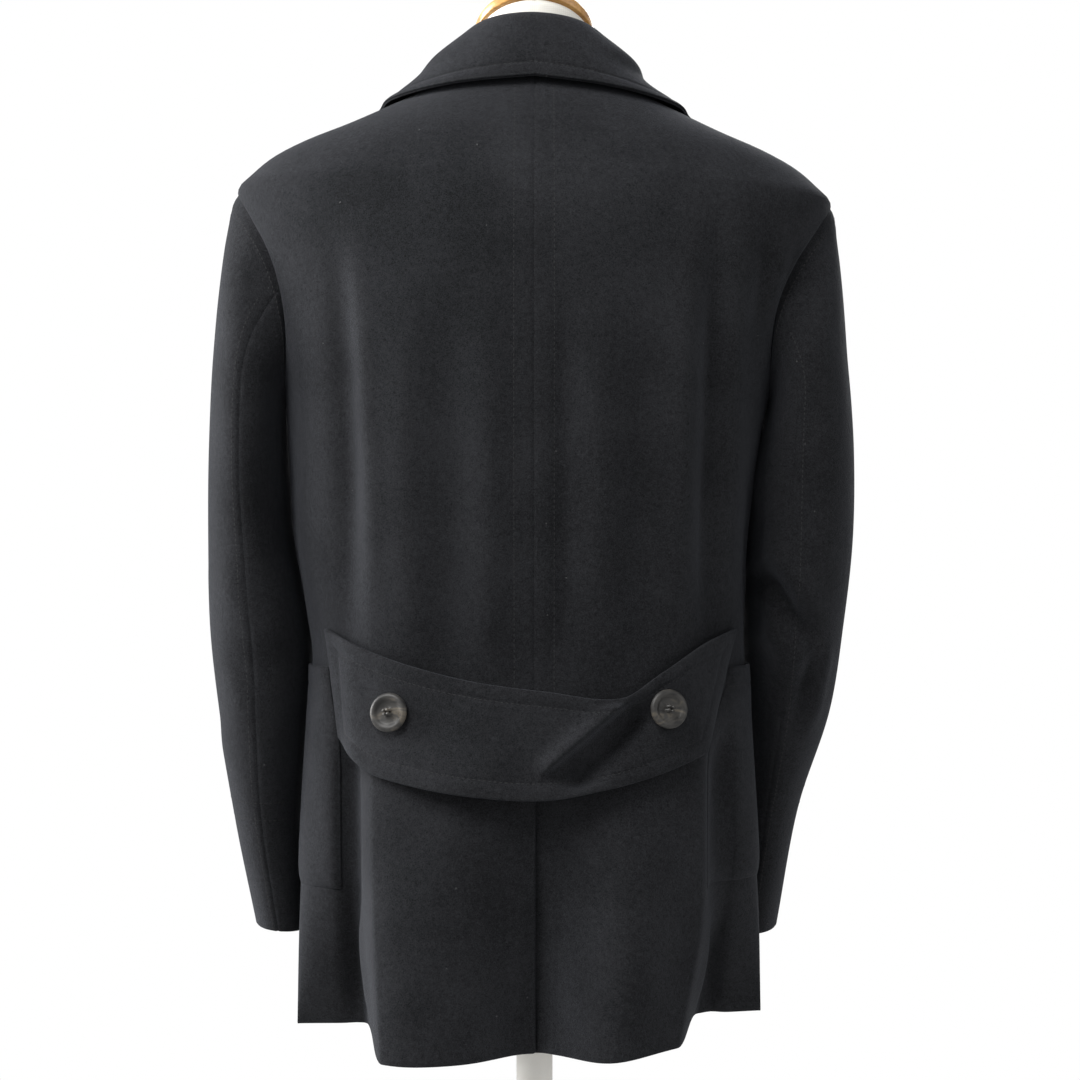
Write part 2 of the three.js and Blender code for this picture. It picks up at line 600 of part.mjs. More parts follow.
// Adds a lapel, folded back on its front from the roll line
function addLapel(side) {
  const lift = side > 0 ? LAPEL.liftLeft : LAPEL.liftRight;
  // The right lapel comes out from under the left front where the two edges cross
  const rows = spread(side > 0 ? 0.04 : 0.59, LAPEL.top, LAPEL.rows).map((share) => {
    const z = lerp(BREAK_HEIGHT, ROLL_TOP.z, share);
    const x = frontEdgeX(z);
    const wide = LAPEL.width * Math.min(1, share * 1.25) + 5;
    return spread(0, wide, LAPEL.columns).map((w) => onFront(side, x + 2 + w * 0.93, z - w * 0.36, lift));
  });
  addCloth(side > 0 ? 'lapel_left' : 'lapel_right', rows);
}

// A place on the half belt, from its left end (0) to its right end (1) and from top (0) to bottom (1)
function onBelt(along, down) {
  const value = (key) => lookUp(BELT, key, along, 'at');
  const x = lerp(value('topX'), value('lowX'), down);
  const z = lerp(value('topZ'), value('lowZ'), down);
  const off = value('off');
  const fold = 1 - smoothstep(off, 0, 4);
  const height = z - RIGHT_HEM_LIFT * clamp(-x / 245, 0, 1) * (1 - smoothstep(z, HEM, WAIST));
  const angle = angleAt(x, height);
  const surface = (a, b) => bodyPoint(a, b, fold);
  const out = directionOut(surface, angle, height).negate();
  return { point: bodyPoint(angle, height, fold), out, lift: off + TWO_PLY + LAYER_GAP };
}

function addBelt() {
  const rows = spread(0, 1, 4).map((down) => spread(0, 1, BELT_STEPS).map((along) => onBelt(along, down)));
  addCloth('back_belt', rows, TWO_PLY);
}

// Adds a patch pocket on the flank and the front
function addPocket(side) {
  const { lowX, highX } = side > 0 ? POCKET.left : POCKET.right;
  const backAngle = (z) => angleAt(side * lerp(lowX, highX, smoothstep(z, POCKET.turn, POCKET.high)), z) * side;
  const columns = (z) => {
    const start = backAngle(z);
    const flank = Math.max(angleAt(side * (cornerPlace(z, side) + POCKET.foldWidth), z) * side, start + 0.12);
    return [...spread(start, flank, 4), ...spread(flank, degToRad(POCKET.to), POCKET.steps).slice(1)];
  };
  const rows = spread(POCKET.low, POCKET.high, POCKET.rows).map(
    (z) => columns(z).map((angle) => {
      const place = onBody(side * angle, z, CLOTH + LAYER_GAP + 0.3);
      const away = Math.abs(place.point.x);
      place.lift += POCKET.slack * Math.exp(-(((away - cornerPlace(z, side) - POCKET.foldWidth) / 16) ** 2));
      if (side > 0 && angle > Math.PI / 2) place.lift += overlapLift(away, z);
      return place;
    }),
  );
  addCloth(side > 0 ? 'pocket_left' : 'pocket_right', rows);
}

// Adds a round button with a raised rim, its back against a place
function addButton(name, point, out, shank) {
  const { radius, rim, dish, edge, sides } = BUTTON;
  const profile = [
    [0, 0], [radius - 2.5, 0], [radius, 1.4], [radius, edge], [radius - 1.8, rim],
    [radius - 4.2, rim - 0.3], [radius - 6.2, dish], [0, dish - 0.4],
  ].map(([r, h]) => new THREE.Vector2(r, h));
  const geometry = new THREE.LatheGeometry(profile, sides);
  geometry.applyQuaternion(new THREE.Quaternion().setFromUnitVectors(new THREE.Vector3(0, 1, 0), out));
  const seat = point.clone().addScaledVector(out, shank);
  geometry.translate(seat.x, seat.y, seat.z);
  add(name, welded(geometry), HORN);
}

// A geometry with its shared corners joined
function welded(geometry) {
  geometry.deleteAttribute('normal');
  geometry.deleteAttribute('uv');
  return mergeVertices(geometry, 1e-3);
}

function addButtons() {
  for (const { name, x, z } of BELT_BUTTONS) {
    let best = { gap: Infinity };
    for (let along = 0; along <= 1; along += 0.01) {
      for (let down = 0; down <= 1; down += 0.05) {
        const place = onBelt(along, down);
        place.point.addScaledVector(place.out, place.lift);
        const gap = Math.hypot(place.point.x - x, place.point.z - z);
        if (gap < best.gap) best = { gap, place };
      }
    }
    addButton(name, best.place.point, best.place.out, BUTTON.shank);
  }
  FRONT_BUTTON_ROWS.forEach((z, row) => {
    [-1, 1].forEach((column, k) => {
      const place = onFront(1, column * FRONT_BUTTON_X, z);
      place.point.addScaledVector(place.out, place.lift);
      addButton(`front_button_${2 * row + k + 1}`, place.point, place.out, BUTTON.sunk);
    });
  });
}

// A closed solid from rings of points, with a flat fan over each end
function loftGeometry(rings) {
  const sides = rings[0].length;
  const middle = (ring) => ring.reduce((sum, p) => sum.add(p), new THREE.Vector3()).divideScalar(sides);
  const points = [...rings.flat(), middle(rings[0]), middle(rings[rings.length - 1])];
  const index = [];
  for (let i = 0; i < rings.length - 1; i++) {
    for (let j = 0; j < sides; j++) {
      const [a, b] = [i * sides + j, i * sides + (j + 1) % sides];
      index.push(a, b, b + sides, a, b + sides, a + sides);
    }
  }
  const [first, last] = [points.length - 2, (rings.length - 1) * sides];
  for (let j = 0; j < sides; j++) {
    index.push(first, (j + 1) % sides, j);
    index.push(first + 1, last + j, last + (j + 1) % sides);
  }
  const geometry = new THREE.BufferGeometry();
  geometry.setAttribute('position', new THREE.Float32BufferAttribute(points.flatMap((p) => [p.x, p.y, p.z]), 3));
  geometry.setIndex(index);
  return geometry;
}

// A ring of the form at a height
function formRing({ z, half, back, front }, inset = 0) {
  return spread(0, 2 * Math.PI, FORM_SIDES).slice(0, -1).map((angle) => {
    const [sine, cosine] = [Math.sin(angle), Math.cos(angle)];
    const reach = squareness(sine, cosine, 2.2);
    const depth = (cosine > 0 ? back : front) - inset;
    return new THREE.Vector3((half - inset) * sine * reach, depth * cosine * reach, z);
  });
}

// Rings of the form's shoulders, seated under the lower shoulder of the coat
function shoulderRings() {
  return [1328, 1343, 1356, 1369, 1384, 1395].map((z) => {
    const seat = onBody(-Math.PI / 2, z);
    seat.point.addScaledVector(seat.out, -CLOTH - SEAM_GAP - 0.15);
    const depth = lookUp(BODY, 'back', z) - FORM_SHOULDER_TUCK - CLOTH;
    const tip = smoothstep(z, 1326, 1358);
    return formRing({ z: seat.point.z, half: lerp(205, -seat.point.x, tip), back: depth, front: depth });
  });
}

function neckTop(y, lift = 0) {
  return NECK.height + NECK.slant * (y - NECK.back) + lift;
}

function neckRing(radius, height) {
  return spread(0, 2 * Math.PI, 24).slice(0, -1).map((angle) => {
    const y = radius * Math.cos(angle);
    return new THREE.Vector3(radius * Math.sin(angle), y, height(y));
  });
}

function addForm() {
  const shoulders = shoulderRings();
  const collarbone = formRing({ z: NECK.foot - SEAM_GAP, half: NECK.radius, back: NECK.radius, front: NECK.radius });
  add('form_torso', loftGeometry([...FORM.map((row) => formRing(row)), ...shoulders, collarbone]), COTTON);
  const foot = NECK.foot;
  const heights = [0, 0.5, 1].map((share) => (y) => lerp(foot, neckTop(y), share));
  add('form_neck', loftGeometry(heights.map((height) => neckRing(NECK.radius, height))), COTTON);
  const rim = NECK.radius + NECK.lip;
  add('form_neck_cap', loftGeometry([
    neckRing(rim - 1.5, (y) => neckTop(y, SEAM_GAP)),
    neckRing(rim, (y) => neckTop(y, SEAM_GAP + 1.5)),
    neckRing(rim, (y) => neckTop(y, NECK.cap - 2)),
    neckRing(rim - 2.5, (y) => neckTop(y, NECK.cap)),
    neckRing(rim * 0.6, (y) => neckTop(y, NECK.cap + 2.5)),
  ]), WOOD);
}

// A turned solid from radius and height pairs
function addTurned(name, profile, material, sides = 48) {
  const points = profile.map(([r, h]) => new THREE.Vector2(r, h));
  const geometry = new THREE.LatheGeometry(points, sides);
  geometry.rotateX(Math.PI / 2);
  add(name, welded(geometry), material);
}

function addStand() {
  const boardTop = FORM[0].z - SEAM_GAP;
  const boardLow = boardTop - BOARD.thick;
  const plate = { ...FORM[0] };
  add('form_board', loftGeometry([
    formRing({ ...plate, z: boardLow }, BOARD.inset + 2),
    formRing({ ...plate, z: boardLow + 2 }, BOARD.inset),
    formRing({ ...plate, z: boardTop }, BOARD.inset),
  ]), WOOD);
  const flangeLow = boardLow - SEAM_GAP - FLANGE.thick;
  addTurned('stand_flange', [
    [0, flangeLow], [FLANGE.radius - 2, flangeLow], [FLANGE.radius, flangeLow + 2],
    [FLANGE.radius, flangeLow + FLANGE.thick], [0, flangeLow + FLANGE.thick],
  ], PAINT, 32);
  const poleLow = BASE.thick + BASE.hubHeight + SEAM_GAP;
  addTurned('stand_pole', [
    [0, poleLow], [POLE_RADIUS, poleLow], [POLE_RADIUS, flangeLow - SEAM_GAP], [0, flangeLow - SEAM_GAP],
  ], PAINT, 24);
  addTurned('stand_base', [
    [0, 0], [BASE.radius - 2, 0], [BASE.radius, 2], [BASE.radius, BASE.thick - 5],
    [BASE.radius - 5, BASE.thick - 1], [BASE.radius - 14, BASE.thick], [BASE.hub, BASE.thick + 2],
    [BASE.hub - 8, BASE.thick + BASE.hubHeight], [0, BASE.thick + BASE.hubHeight],
  ], PAINT, 56);
}

for (const side of [1, -1]) {
  addSleeve(side);
  addBack(side);
  addFront(side);
  addLapel(side);
  addPocket(side);
}
addCollar();
addBelt();
addButtons();
addForm();
addStand();

export default coat;
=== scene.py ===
"""Looks of a dark wool pea coat on a limbless dress form, seen from behind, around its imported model.

The cloth is made again as fine walls on the same named sizes as its solids, with the folds, seams,
stitching and pressed edges of the real coat. Sizes of the coat are in millimetres and are turned
into metres where a mesh is made.
"""

import logging
import math
from dataclasses import dataclass
from enum import Enum

import bmesh
import bpy
import numpy as np
from bpy.types import Material, Node, NodeSocket, NodeTree, Object
from mathutils import Matrix, Vector

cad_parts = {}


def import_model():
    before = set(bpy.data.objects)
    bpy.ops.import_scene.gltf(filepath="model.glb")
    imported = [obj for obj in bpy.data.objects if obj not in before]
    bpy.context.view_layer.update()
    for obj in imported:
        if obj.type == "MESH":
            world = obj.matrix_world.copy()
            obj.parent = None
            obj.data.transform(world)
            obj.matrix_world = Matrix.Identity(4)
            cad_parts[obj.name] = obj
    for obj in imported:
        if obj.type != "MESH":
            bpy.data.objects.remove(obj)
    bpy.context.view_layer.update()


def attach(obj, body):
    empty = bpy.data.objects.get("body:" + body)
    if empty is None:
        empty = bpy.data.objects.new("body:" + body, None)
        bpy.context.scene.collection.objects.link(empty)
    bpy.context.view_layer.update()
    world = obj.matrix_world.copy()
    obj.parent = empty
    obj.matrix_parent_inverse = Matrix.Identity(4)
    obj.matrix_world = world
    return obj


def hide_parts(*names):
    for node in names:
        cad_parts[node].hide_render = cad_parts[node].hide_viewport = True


Array = np.ndarray
Colour = tuple[float, float, float]
LOG = logging.getLogger("pea_coat")
MM = 0.001
ROOT = "root"

# Cloth thicknesses and gaps
CLOTH = 2.4
TWO_PLY = 3.2
SEAM_GAP = 0.3
LAYER_GAP = 0.6

# A direction that no strand of thread runs in
ASKEW = (0.3, 0.9, 0.31)

# Heights of the coat above the floor
HEM = 630.0
VENT_TOP = 868.0
WAIST = 914.0
ARMPIT = 1150.0
SHOULDER = 1318.0
NAPE = 1408.0


class Side(Enum):
    """The wearer's side that a piece is on; its value is the sign of X."""

    LEFT = 1
    RIGHT = -1

    @property
    def word(self) -> str:
        """The side's name, as piece names use it."""
        return self.name.lower()


class Table:
    """A short table with named columns, read on a smooth curve through its rows."""

    def __init__(self, names: str, rows: list[tuple[float, ...]]) -> None:
        """Keeps the columns.

        Args:
            names: the columns' names, the first of which is the place along the table.
            rows: one row for each section, in order of place.
        """
        values = np.array(rows, dtype=float)
        self.place = values[:, 0]
        self.columns = dict(zip(names.split(), values.T))

    def at(self, name: str, place: Array | float) -> Array:
        """A column's value at a place.

        Args:
            name: the column.
            place: where along the table, one value or many.

        Returns:
            The value or values there, held at the table's ends.
        """
        knots, value = self.place, self.columns[name]
        low = np.concatenate(([0], np.arange(len(knots) - 1)))
        high = np.concatenate((np.arange(1, len(knots)), [len(knots) - 1]))
        slope = (value[high] - value[low]) / (knots[high] - knots[low])
        spot = np.clip(place, knots[0], knots[-1])
        i = np.clip(np.searchsorted(knots, spot, side="right") - 1, 0, len(knots) - 2)
        span = knots[i + 1] - knots[i]
        t = (spot - knots[i]) / span
        return (
            (2 * t**3 - 3 * t**2 + 1) * value[i]
            + (t**3 - 2 * t**2 + t) * span * slope[i]
            + (3 * t**2 - 2 * t**3) * value[i + 1]
            + (t**3 - t**2) * span * slope[i + 1]
        )


def smooth(value: Array | float, low: float, high: float) -> Array:
    """A soft step from 0 at low to 1 at high."""
    t = np.clip((np.asarray(value, dtype=float) - low) / (high - low), 0, 1)
    return t * t * (3 - 2 * t)


def mix(a: Array | float, b: Array | float, share: Array | float) -> Array:
    """The value a share of the way from a to b."""
    return a + (b - a) * share


def bell(value: Array | float, width: float) -> Array:
    """A soft bump of height 1 at 0."""
    return np.exp(-((np.asarray(value, dtype=float) / width) ** 2))


def squareness(sine: Array, cosine: Array, exponent: float) -> Array:
    """Radius factor of a superellipse in the direction with this sine and cosine."""
    return (np.abs(sine) ** exponent + np.abs(cosine) ** exponent) ** (-1 / exponent)


def unit(vectors: Array) -> Array:
    """Vectors scaled to a length of 1."""
    return vectors / np.maximum(np.linalg.norm(vectors, axis=-1, keepdims=True), 1e-9)


def xyz(x: Array, y: Array, z: Array) -> Array:
    """Points from their three coordinates."""
    return np.stack(np.broadcast_arrays(x, y, z), axis=-1).astype(float)


@dataclass(frozen=True)
class Crease:
    """A soft ridge or trough in the cloth, from one place to another on the view it is drawn in."""

    x0: float
    z0: float
    x1: float
    z1: float
    width: float
    height: float
    ends: float = 0.3
    bow: float = 0.0
    lean: float = 0.0
    past: float = 0.05

    def lift(self, x: Array, z: Array) -> Array:
        """How far the crease moves the cloth out.

        Args:
            x: places across.
            z: places up.

        Returns:
            The movement at each place, negative in a trough.
        """
        run = np.array([self.x1 - self.x0, self.z1 - self.z0])
        length = float(np.hypot(*run))
        ahead = run / length
        along = ((x - self.x0) * ahead[0] + (z - self.z0) * ahead[1]) / length
        middle = self.bow * 4 * np.clip(along, 0, 1) * (1 - np.clip(along, 0, 1))
        across = (x - self.x0) * -ahead[1] + (z - self.z0) * ahead[0] - middle
        wide = self.width * np.where(across > 0, 1 + self.lean, 1 - self.lean)
        fade = smooth(along, -self.past, self.ends) * (1 - smooth(along, 1 - self.ends, 1 + self.past))
        return self.height * fade * np.exp(-((across / wide) ** 2))


def creases(*rows: tuple[float, ...]) -> tuple[Crease, ...]:
    """Creases from rows of two ends, width and height, then the shares that fade, the bow and the lean."""
    return tuple(Crease(*row) for row in rows)


@dataclass(frozen=True)
class BodyShape:
    """The coat's outer surface round the body, in the sections that its solids have."""

    sections: Table = Table("z half back front tuck", [
        (630, 196.5, 153, 142, 9), (710, 195, 143, 140, 9), (797, 191, 128, 137, 9.5),
        (880, 186, 113, 133, 9.5), (914, 184, 108, 131, 8.5), (945, 184.5, 108, 130, 11),
        (980, 191, 113, 132, 16), (1032, 200, 121, 135, 23), (1114, 204, 129, 138, 17),
        (1150, 206, 131, 138, 12), (1187, 212, 132, 136, 10), (1230, 221, 131, 132, 6.5),
        (1266, 231, 128, 127, 2), (1290, 239, 124, 122, 0.5), (1318, 245, 117, 116, 0),
        (1328, 236, 113, 112, 0),
        (1343, 218, 106, 106, 0), (1356, 193, 99, 98, 0), (1369, 160, 91, 88, 0), (1384, 126, 80, 74, 0),
        (1395, 103, 70, 62, 0), (1408, 80, 56, 46, 0),
    ])
    box: Table = Table("z left right wall share crest", [
        (630, 117, 112, 24, 1.0, 12), (735, 123, 131, 28, 0.60, 9), (850, 125, 131, 28, 0.26, 5),
        (945, 127, 130, 26, 0.10, 3), (1068, 127, 134, 24, 0.08, 3), (1172, 133, 140, 24, 0.05, 2),
        (1276, 140, 146, 26, 0.02, 0), (1310, 142, 147, 26, 0.0, 0),
    ])
    roundness: float = 2.4
    flank: float = 6.0
    crest_width: float = 34.0
    crest_in_left: float = 12.0
    crest_in_right: float = 48.0
    corner_limit: float = 0.74
    vent_dip: float = 44.0
    vent_dip_width: float = 40.0
    right_shallower: float = 0.13
    shallow_across: tuple[float, float] = (40.0, 125.0)
    shallow_behind: float = 60.0
    right_shoulder_drop: float = 11.0
    right_hem_lift: float = 14.0
    across: float = 245.0
    armhole_back: float = 27.0
    armhole_front: float = 30.0
    armhole_round: float = 2.2
    turn_step: float = 0.004
    rise_step: float = 0.8

    def settle(self, points: Array) -> Array:
        """Lowers the right shoulder and lifts the right hem.

        Args:
            points: places before the coat settles.

        Returns:
            The places after it.
        """
        right = np.clip(-points[..., 0] / self.across, 0, 1)
        z = points[..., 2]
        moved = points.copy()
        moved[..., 2] += self.right_hem_lift * right * (1 - smooth(z, HEM, WAIST))
        moved[..., 2] -= self.right_shoulder_drop * right * smooth(z, ARMPIT, SHOULDER)
        return moved

    def half_width(self, z: Array, side: Array | int) -> Array:
        """Half width of the body on one side at a height."""
        return self.sections.at("half", z) - np.where(np.asarray(side) < 0, self.sections.at("tuck", z), 0)

    def corner(self, z: Array, side: Array | int) -> Array:
        """How far from the centre the back's box turns its corner."""
        place = np.where(np.asarray(side) > 0, self.box.at("left", z), self.box.at("right", z))
        return np.minimum(place, self.corner_limit * self.half_width(z, side))

    def points(self, angle: Array, z: Array, fold: Array | float = 1.0) -> Array:
        """Places on the surface.

        Args:
            angle: round the body from the centre back, positive on the wearer's left.
            z: height before the coat settles.
            fold: share of the box folds that is kept.

        Returns:
            Points in millimetres.
        """
        angle, z, fold = np.broadcast_arrays(np.asarray(angle, float), z, fold)
        side = np.where(angle < 0, -1, 1)
        sine, cosine = np.sin(angle), np.cos(angle)
        reach = squareness(sine, cosine, self.roundness)
        x = self.half_width(z, side) * sine * reach
        back = cosine > 0
        depth = np.where(back, self.sections.at("back", z), self.sections.at("front", z))
        y = cosine * reach * depth
        skirt = 1 - smooth(z, HEM, WAIST)
        shallow = self.right_shallower * skirt * smooth(-x, *self.shallow_across) * smooth(
            y, 0, self.shallow_behind)
        behind = y * (1 - shallow)
        away = np.abs(x)
        corner = self.corner(z, side)
        crest_in = np.where(side > 0, self.crest_in_left, self.crest_in_right)
        hump = (away - corner + crest_in) / self.crest_width
        behind = behind + self.box.at("crest", z) * fold * np.exp(-(hump**2))
        turn = smooth((away - corner) / self.box.at("wall", z), 0, 1)
        behind = mix(behind, np.minimum(behind, self.flank), self.box.at("share", z) * fold * turn)
        behind = behind - self.vent_dip * skirt * fold * bell(x, self.vent_dip_width)
        return self.settle(xyz(x, np.where(back, behind, y), z))

    def out(self, angle: Array, z: Array, fold: Array | float = 1.0) -> Array:
        """Directions out of the surface, from small steps either way.

        Args:
            angle: round the body from the centre back.
            z: height before the coat settles.
            fold: share of the box folds that is kept.

        Returns:
            Directions of length 1.
        """
        step, lift = self.turn_step, self.rise_step
        turn = self.points(angle + step, z, fold) - self.points(angle - step, z, fold)
        rise = self.points(angle, z + lift, fold) - self.points(angle, z - lift, fold)
        return -unit(np.cross(turn, rise))

    def angle_at(self, x: Array, z: Array, front: bool = False) -> Array:
        """The angle at which the section at a height reaches an x, at the back or the front.

        Args:
            x: places across.
            z: heights.
            front: whether the front is meant.

        Returns:
            The angles.
        """
        side = np.where(np.asarray(x) < 0, -1, 1)
        share = np.clip(np.abs(x) / self.half_width(z, side), 0, 0.9999)
        depth = (1 - share**self.roundness) ** (1 / self.roundness)
        return side * np.arctan2(share, -depth if front else depth)

    def edge_angle(self, z: Array, front: bool) -> Array:
        """The angle of a panel's outer edge: side seam, armhole or shoulder seam.

        Args:
            z: heights.
            front: whether the panel is a front.

        Returns:
            The angles.
        """
        gap = SEAM_GAP / 2 / self.sections.at("back", z)
        h = np.clip((np.asarray(z, float) - ARMPIT) / (SHOULDER - ARMPIT), 0, 1)
        inward = np.sqrt(np.maximum(0, 1 - np.abs(2 * h - 1) ** self.armhole_round))
        run = math.radians(self.armhole_front if front else self.armhole_back) * inward + gap
        return math.pi / 2 + (run if front else -run)


BODY = BodyShape()


@dataclass(frozen=True)
class Rim:
    """How a cloth edge is rounded: rows of depth through the cloth and distance past its edge."""

    steps: tuple[tuple[float, float], ...]


TURNED_EDGE = Rim(((0.16, 0.34), (0.5, 0.48), (0.84, 0.34)))
TWO_PLY_EDGE = Rim((
    (0.12, 0.26), (0.28, 0.34), (0.42, 0.22), (0.5, -0.1), (0.58, 0.22), (0.72, 0.34), (0.88, 0.26),
))


def make_mesh(name: str, points: Array, quads: Array, material: Material) -> Object:
    """Makes a smooth mesh object.

    Args:
        name: the piece's name.
        points: corners in millimetres.
        quads: faces as rows of four corners; a repeated last corner makes a triangle.
        material: its finish.

    Returns:
        The new object, linked to the scene.
    """
    mesh = bpy.data.meshes.new(name)
    faces = [tuple(f) if f[2] != f[3] else tuple(f[:3]) for f in quads.tolist()]
    mesh.from_pydata((points * MM).tolist(), [], faces)
    mesh.polygons.foreach_set("use_smooth", np.ones(len(mesh.polygons), dtype=bool))
    mesh.validate()
    mesh.materials.append(material)
    thing = bpy.data.objects.new(name, mesh)
    bpy.context.scene.collection.objects.link(thing)
    return thing


def strip(a: Array, b: Array) -> Array:
    """Quads between two rows of corner numbers."""
    return np.stack([a[:-1], a[1:], b[1:], b[:-1]], axis=-1)


def round_quads(rings: Array) -> Array:
    """Quads between rings of corner numbers, each ring closed on itself."""
    after = np.roll(rings, -1, 1)
    return np.stack((rings[:-1], after[:-1], after[1:], rings[1:]), -1).reshape(-1, 4)


def sheet_wall(outer: Array, out: Array, thick: float, rim: Rim) -> tuple[Array, Array]:
    """A closed cloth wall with rounded edges, from a grid of its outer points.

    Args:
        outer: rows and columns of points in millimetres.
        out: their outward directions.
        thick: the cloth's thickness.
        rim: how its edges are rounded.

    Returns:
        Its corners and its faces.
    """
    rows, columns, _ = outer.shape
    inner = outer - out * thick
    number = np.arange(rows * columns).reshape(rows, columns)
    behind = number + rows * columns
    faces = [
        np.stack([number[:-1, :-1], number[:-1, 1:], number[1:, 1:], number[1:, :-1]], -1).reshape(-1, 4),
        np.stack([behind[:-1, :-1], behind[1:, :-1], behind[1:, 1:], behind[:-1, 1:]], -1).reshape(-1, 4),
    ]
    loop = np.concatenate([number[0, :-1], number[:-1, -1], number[-1, :0:-1], number[:0:-1, 0]])
    flat_outer, flat_out = outer.reshape(-1, 3), out.reshape(-1, 3)
    edge = flat_outer[loop]
    ahead = unit(np.roll(edge, -1, axis=0) - np.roll(edge, 1, axis=0))
    through = flat_out[loop]
    past = unit(np.cross(ahead, through))
    if np.sum(past * (edge - flat_outer.mean(axis=0))) < 0:
        past = -past
    points = [flat_outer, inner.reshape(-1, 3)]
    ring = loop
    count = 2 * rows * columns
    for depth, reach in rim.steps:
        points.append(edge - through * thick * depth + past * thick * reach)
        fresh = np.arange(count, count + len(loop))
        faces.append(strip(np.append(ring, ring[0]), np.append(fresh, fresh[0]))[:, ::-1])
        ring, count = fresh, count + len(loop)
    last = loop + rows * columns
    faces.append(strip(np.append(ring, ring[0]), np.append(last, last[0]))[:, ::-1])
    return np.concatenate(points), np.concatenate(faces)


def dress(piece: Object, nodes: tuple[str, ...]) -> Object:
    """Lets a piece ride on the coat's one body and stand for its solids.

    Args:
        piece: the new piece.
        nodes: the solids it stands for.

    Returns:
        The piece.
    """
    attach(piece, ROOT)
    if nodes:
        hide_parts(*nodes)
    LOG.info("%s: %d faces", piece.name, len(piece.data.polygons))
    return piece


@dataclass
class StitchRow:
    """A row of sewing along a line of places with their outward directions.

    Each stitch is a bead: rings with their place along it, their size and their rise.
    """

    points: Array
    out: Array
    pitch: float = 4.2
    length: float = 3.0
    radius: float = 0.36
    near: float = 0.3
    sides: int = 6
    wide: float = 1.25
    tall: float = 0.8
    bead: tuple[tuple[float, float, float], ...] = (
        (-0.5, 0.25, -0.5), (-0.34, 0.9, -0.05), (0.0, 1.0, 0.12), (0.34, 0.9, -0.05), (0.5, 0.25, -0.5),
    )


class Sewing:
    """Collects rows of stitches and makes them as one mesh for each group."""

    def __init__(self) -> None:
        """Starts with no rows."""
        self.rows: dict[str, list[StitchRow]] = {}

    def add(self, group: str, points: Array, out: Array, sunk: float = 0.1) -> None:
        """Adds a row of stitches.

        Args:
            group: the mesh that it belongs to.
            points: the line it follows, on the cloth.
            out: directions out of the cloth.
            sunk: how far the thread lies in the cloth.
        """
        self.rows.setdefault(group, []).append(StitchRow(points - out * sunk, out))

    def build(self, material: Material) -> None:
        """Makes each group's stitches as one mesh.

        Args:
            material: the thread's finish.
        """
        for group, rows in self.rows.items():
            corners, faces, count = [], [], 0
            for row in rows:
                part, quads = self.stitches(row)
                corners.append(part)
                faces.append(quads + count)
                count += len(part)
            piece = make_mesh(f"stitches_{group}", np.concatenate(corners), np.concatenate(faces), material)
            dress(piece, ())

    @staticmethod
    def stitches(row: StitchRow) -> tuple[Array, Array]:
        """The stitches of a row, each a short bead with narrow ends.

        Args:
            row: the row.

        Returns:
            Their corners and their faces.
        """
        step = np.linalg.norm(np.diff(row.points, axis=0), axis=1)
        run = np.concatenate(([0], np.cumsum(step)))
        middles = np.arange(row.pitch / 2, run[-1], row.pitch)

        def along(values: Array, place: Array) -> Array:
            """Values at places along the row."""
            return np.stack([np.interp(place, run, values[:, k]) for k in range(3)], axis=-1)

        out = unit(along(row.out, middles))
        sides = row.sides
        corners = []
        for place, size, rise in row.bead:
            spot = along(row.points, middles + place * row.length)
            ahead = unit(along(row.points, middles + row.near) - along(row.points, middles - row.near))
            across = unit(np.cross(ahead, out))
            centre = spot + out * row.radius * rise
            for k in range(sides):
                turn = 2 * math.pi * k / sides
                reach = across * math.cos(turn) * row.wide + out * math.sin(turn) * row.tall
                corners.append(centre + reach * row.radius * size)
        grid = np.stack(corners, axis=1)
        ring_faces = []
        for i in range(len(row.bead) - 1):
            for k in range(sides):
                a, b = i * sides + k, i * sides + (k + 1) % sides
                ring_faces.append((a, b, b + sides, a + sides))
        last = (len(row.bead) - 1) * sides
        ring_faces += [(3, 2, 1, 0), (0, 5, 4, 3)]
        ring_faces += [(last, last + 1, last + 2, last + 3), (last + 3, last + 4, last + 5, last)]
        base = np.arange(len(middles))[:, None, None] * len(row.bead) * sides
        faces = np.array(ring_faces)[None] + base
        return grid.reshape(-1, 3), faces.reshape(-1, 4)


SEWING = Sewing()


@dataclass(frozen=True)
class Cut:
    """A piece's flat cut: the width and length that it shows, and the share of them that it fills."""

    width: float
    length: float
    filled: float = 1.0
    held: str = "draped"

    def declare(self, piece: Object, rests_on: list[str], with_pieces: list[str] | None = None) -> None:
        """Takes a piece of cloth of this cut and does nothing with it.

        Args:
            piece: the cloth; not used.
            rests_on: what it lies on or hangs from; not used.
            with_pieces: separate pieces that are on it; not used.
        """


class Cloth:
    """Makes cloth pieces from grids and keeps what they share."""

    wool: Material

    @classmethod
    def piece(
        cls, name: str, nodes: tuple[str, ...], outer: Array, out: Array,
        thick: float, rim: Rim = TURNED_EDGE,
    ) -> Object:
        """A cloth wall as a dressed piece.

        Args:
            name: the piece's name.
            nodes: the solids that it stands for.
            outer: rows and columns of its outer points.
            out: their outward directions.
            thick: the cloth's thickness.
            rim: how its edges are rounded.

        Returns:
            The piece.
        """
        points, quads = sheet_wall(outer, out, thick, rim)
        thing = make_mesh(name, points, quads, cls.wool)
        return dress(face_outward(thing), nodes)


def face_outward(thing: Object) -> Object:
    """Turns a closed mesh's faces out.

    Args:
        thing: the mesh object.

    Returns:
        The same object.
    """
    work = bmesh.new()
    work.from_mesh(thing.data)
    bmesh.ops.recalc_face_normals(work, faces=work.faces)
    if work.calc_volume(signed=True) < 0:
        bmesh.ops.reverse_faces(work, faces=work.faces)
    work.to_mesh(thing.data)
    work.free()
    return thing


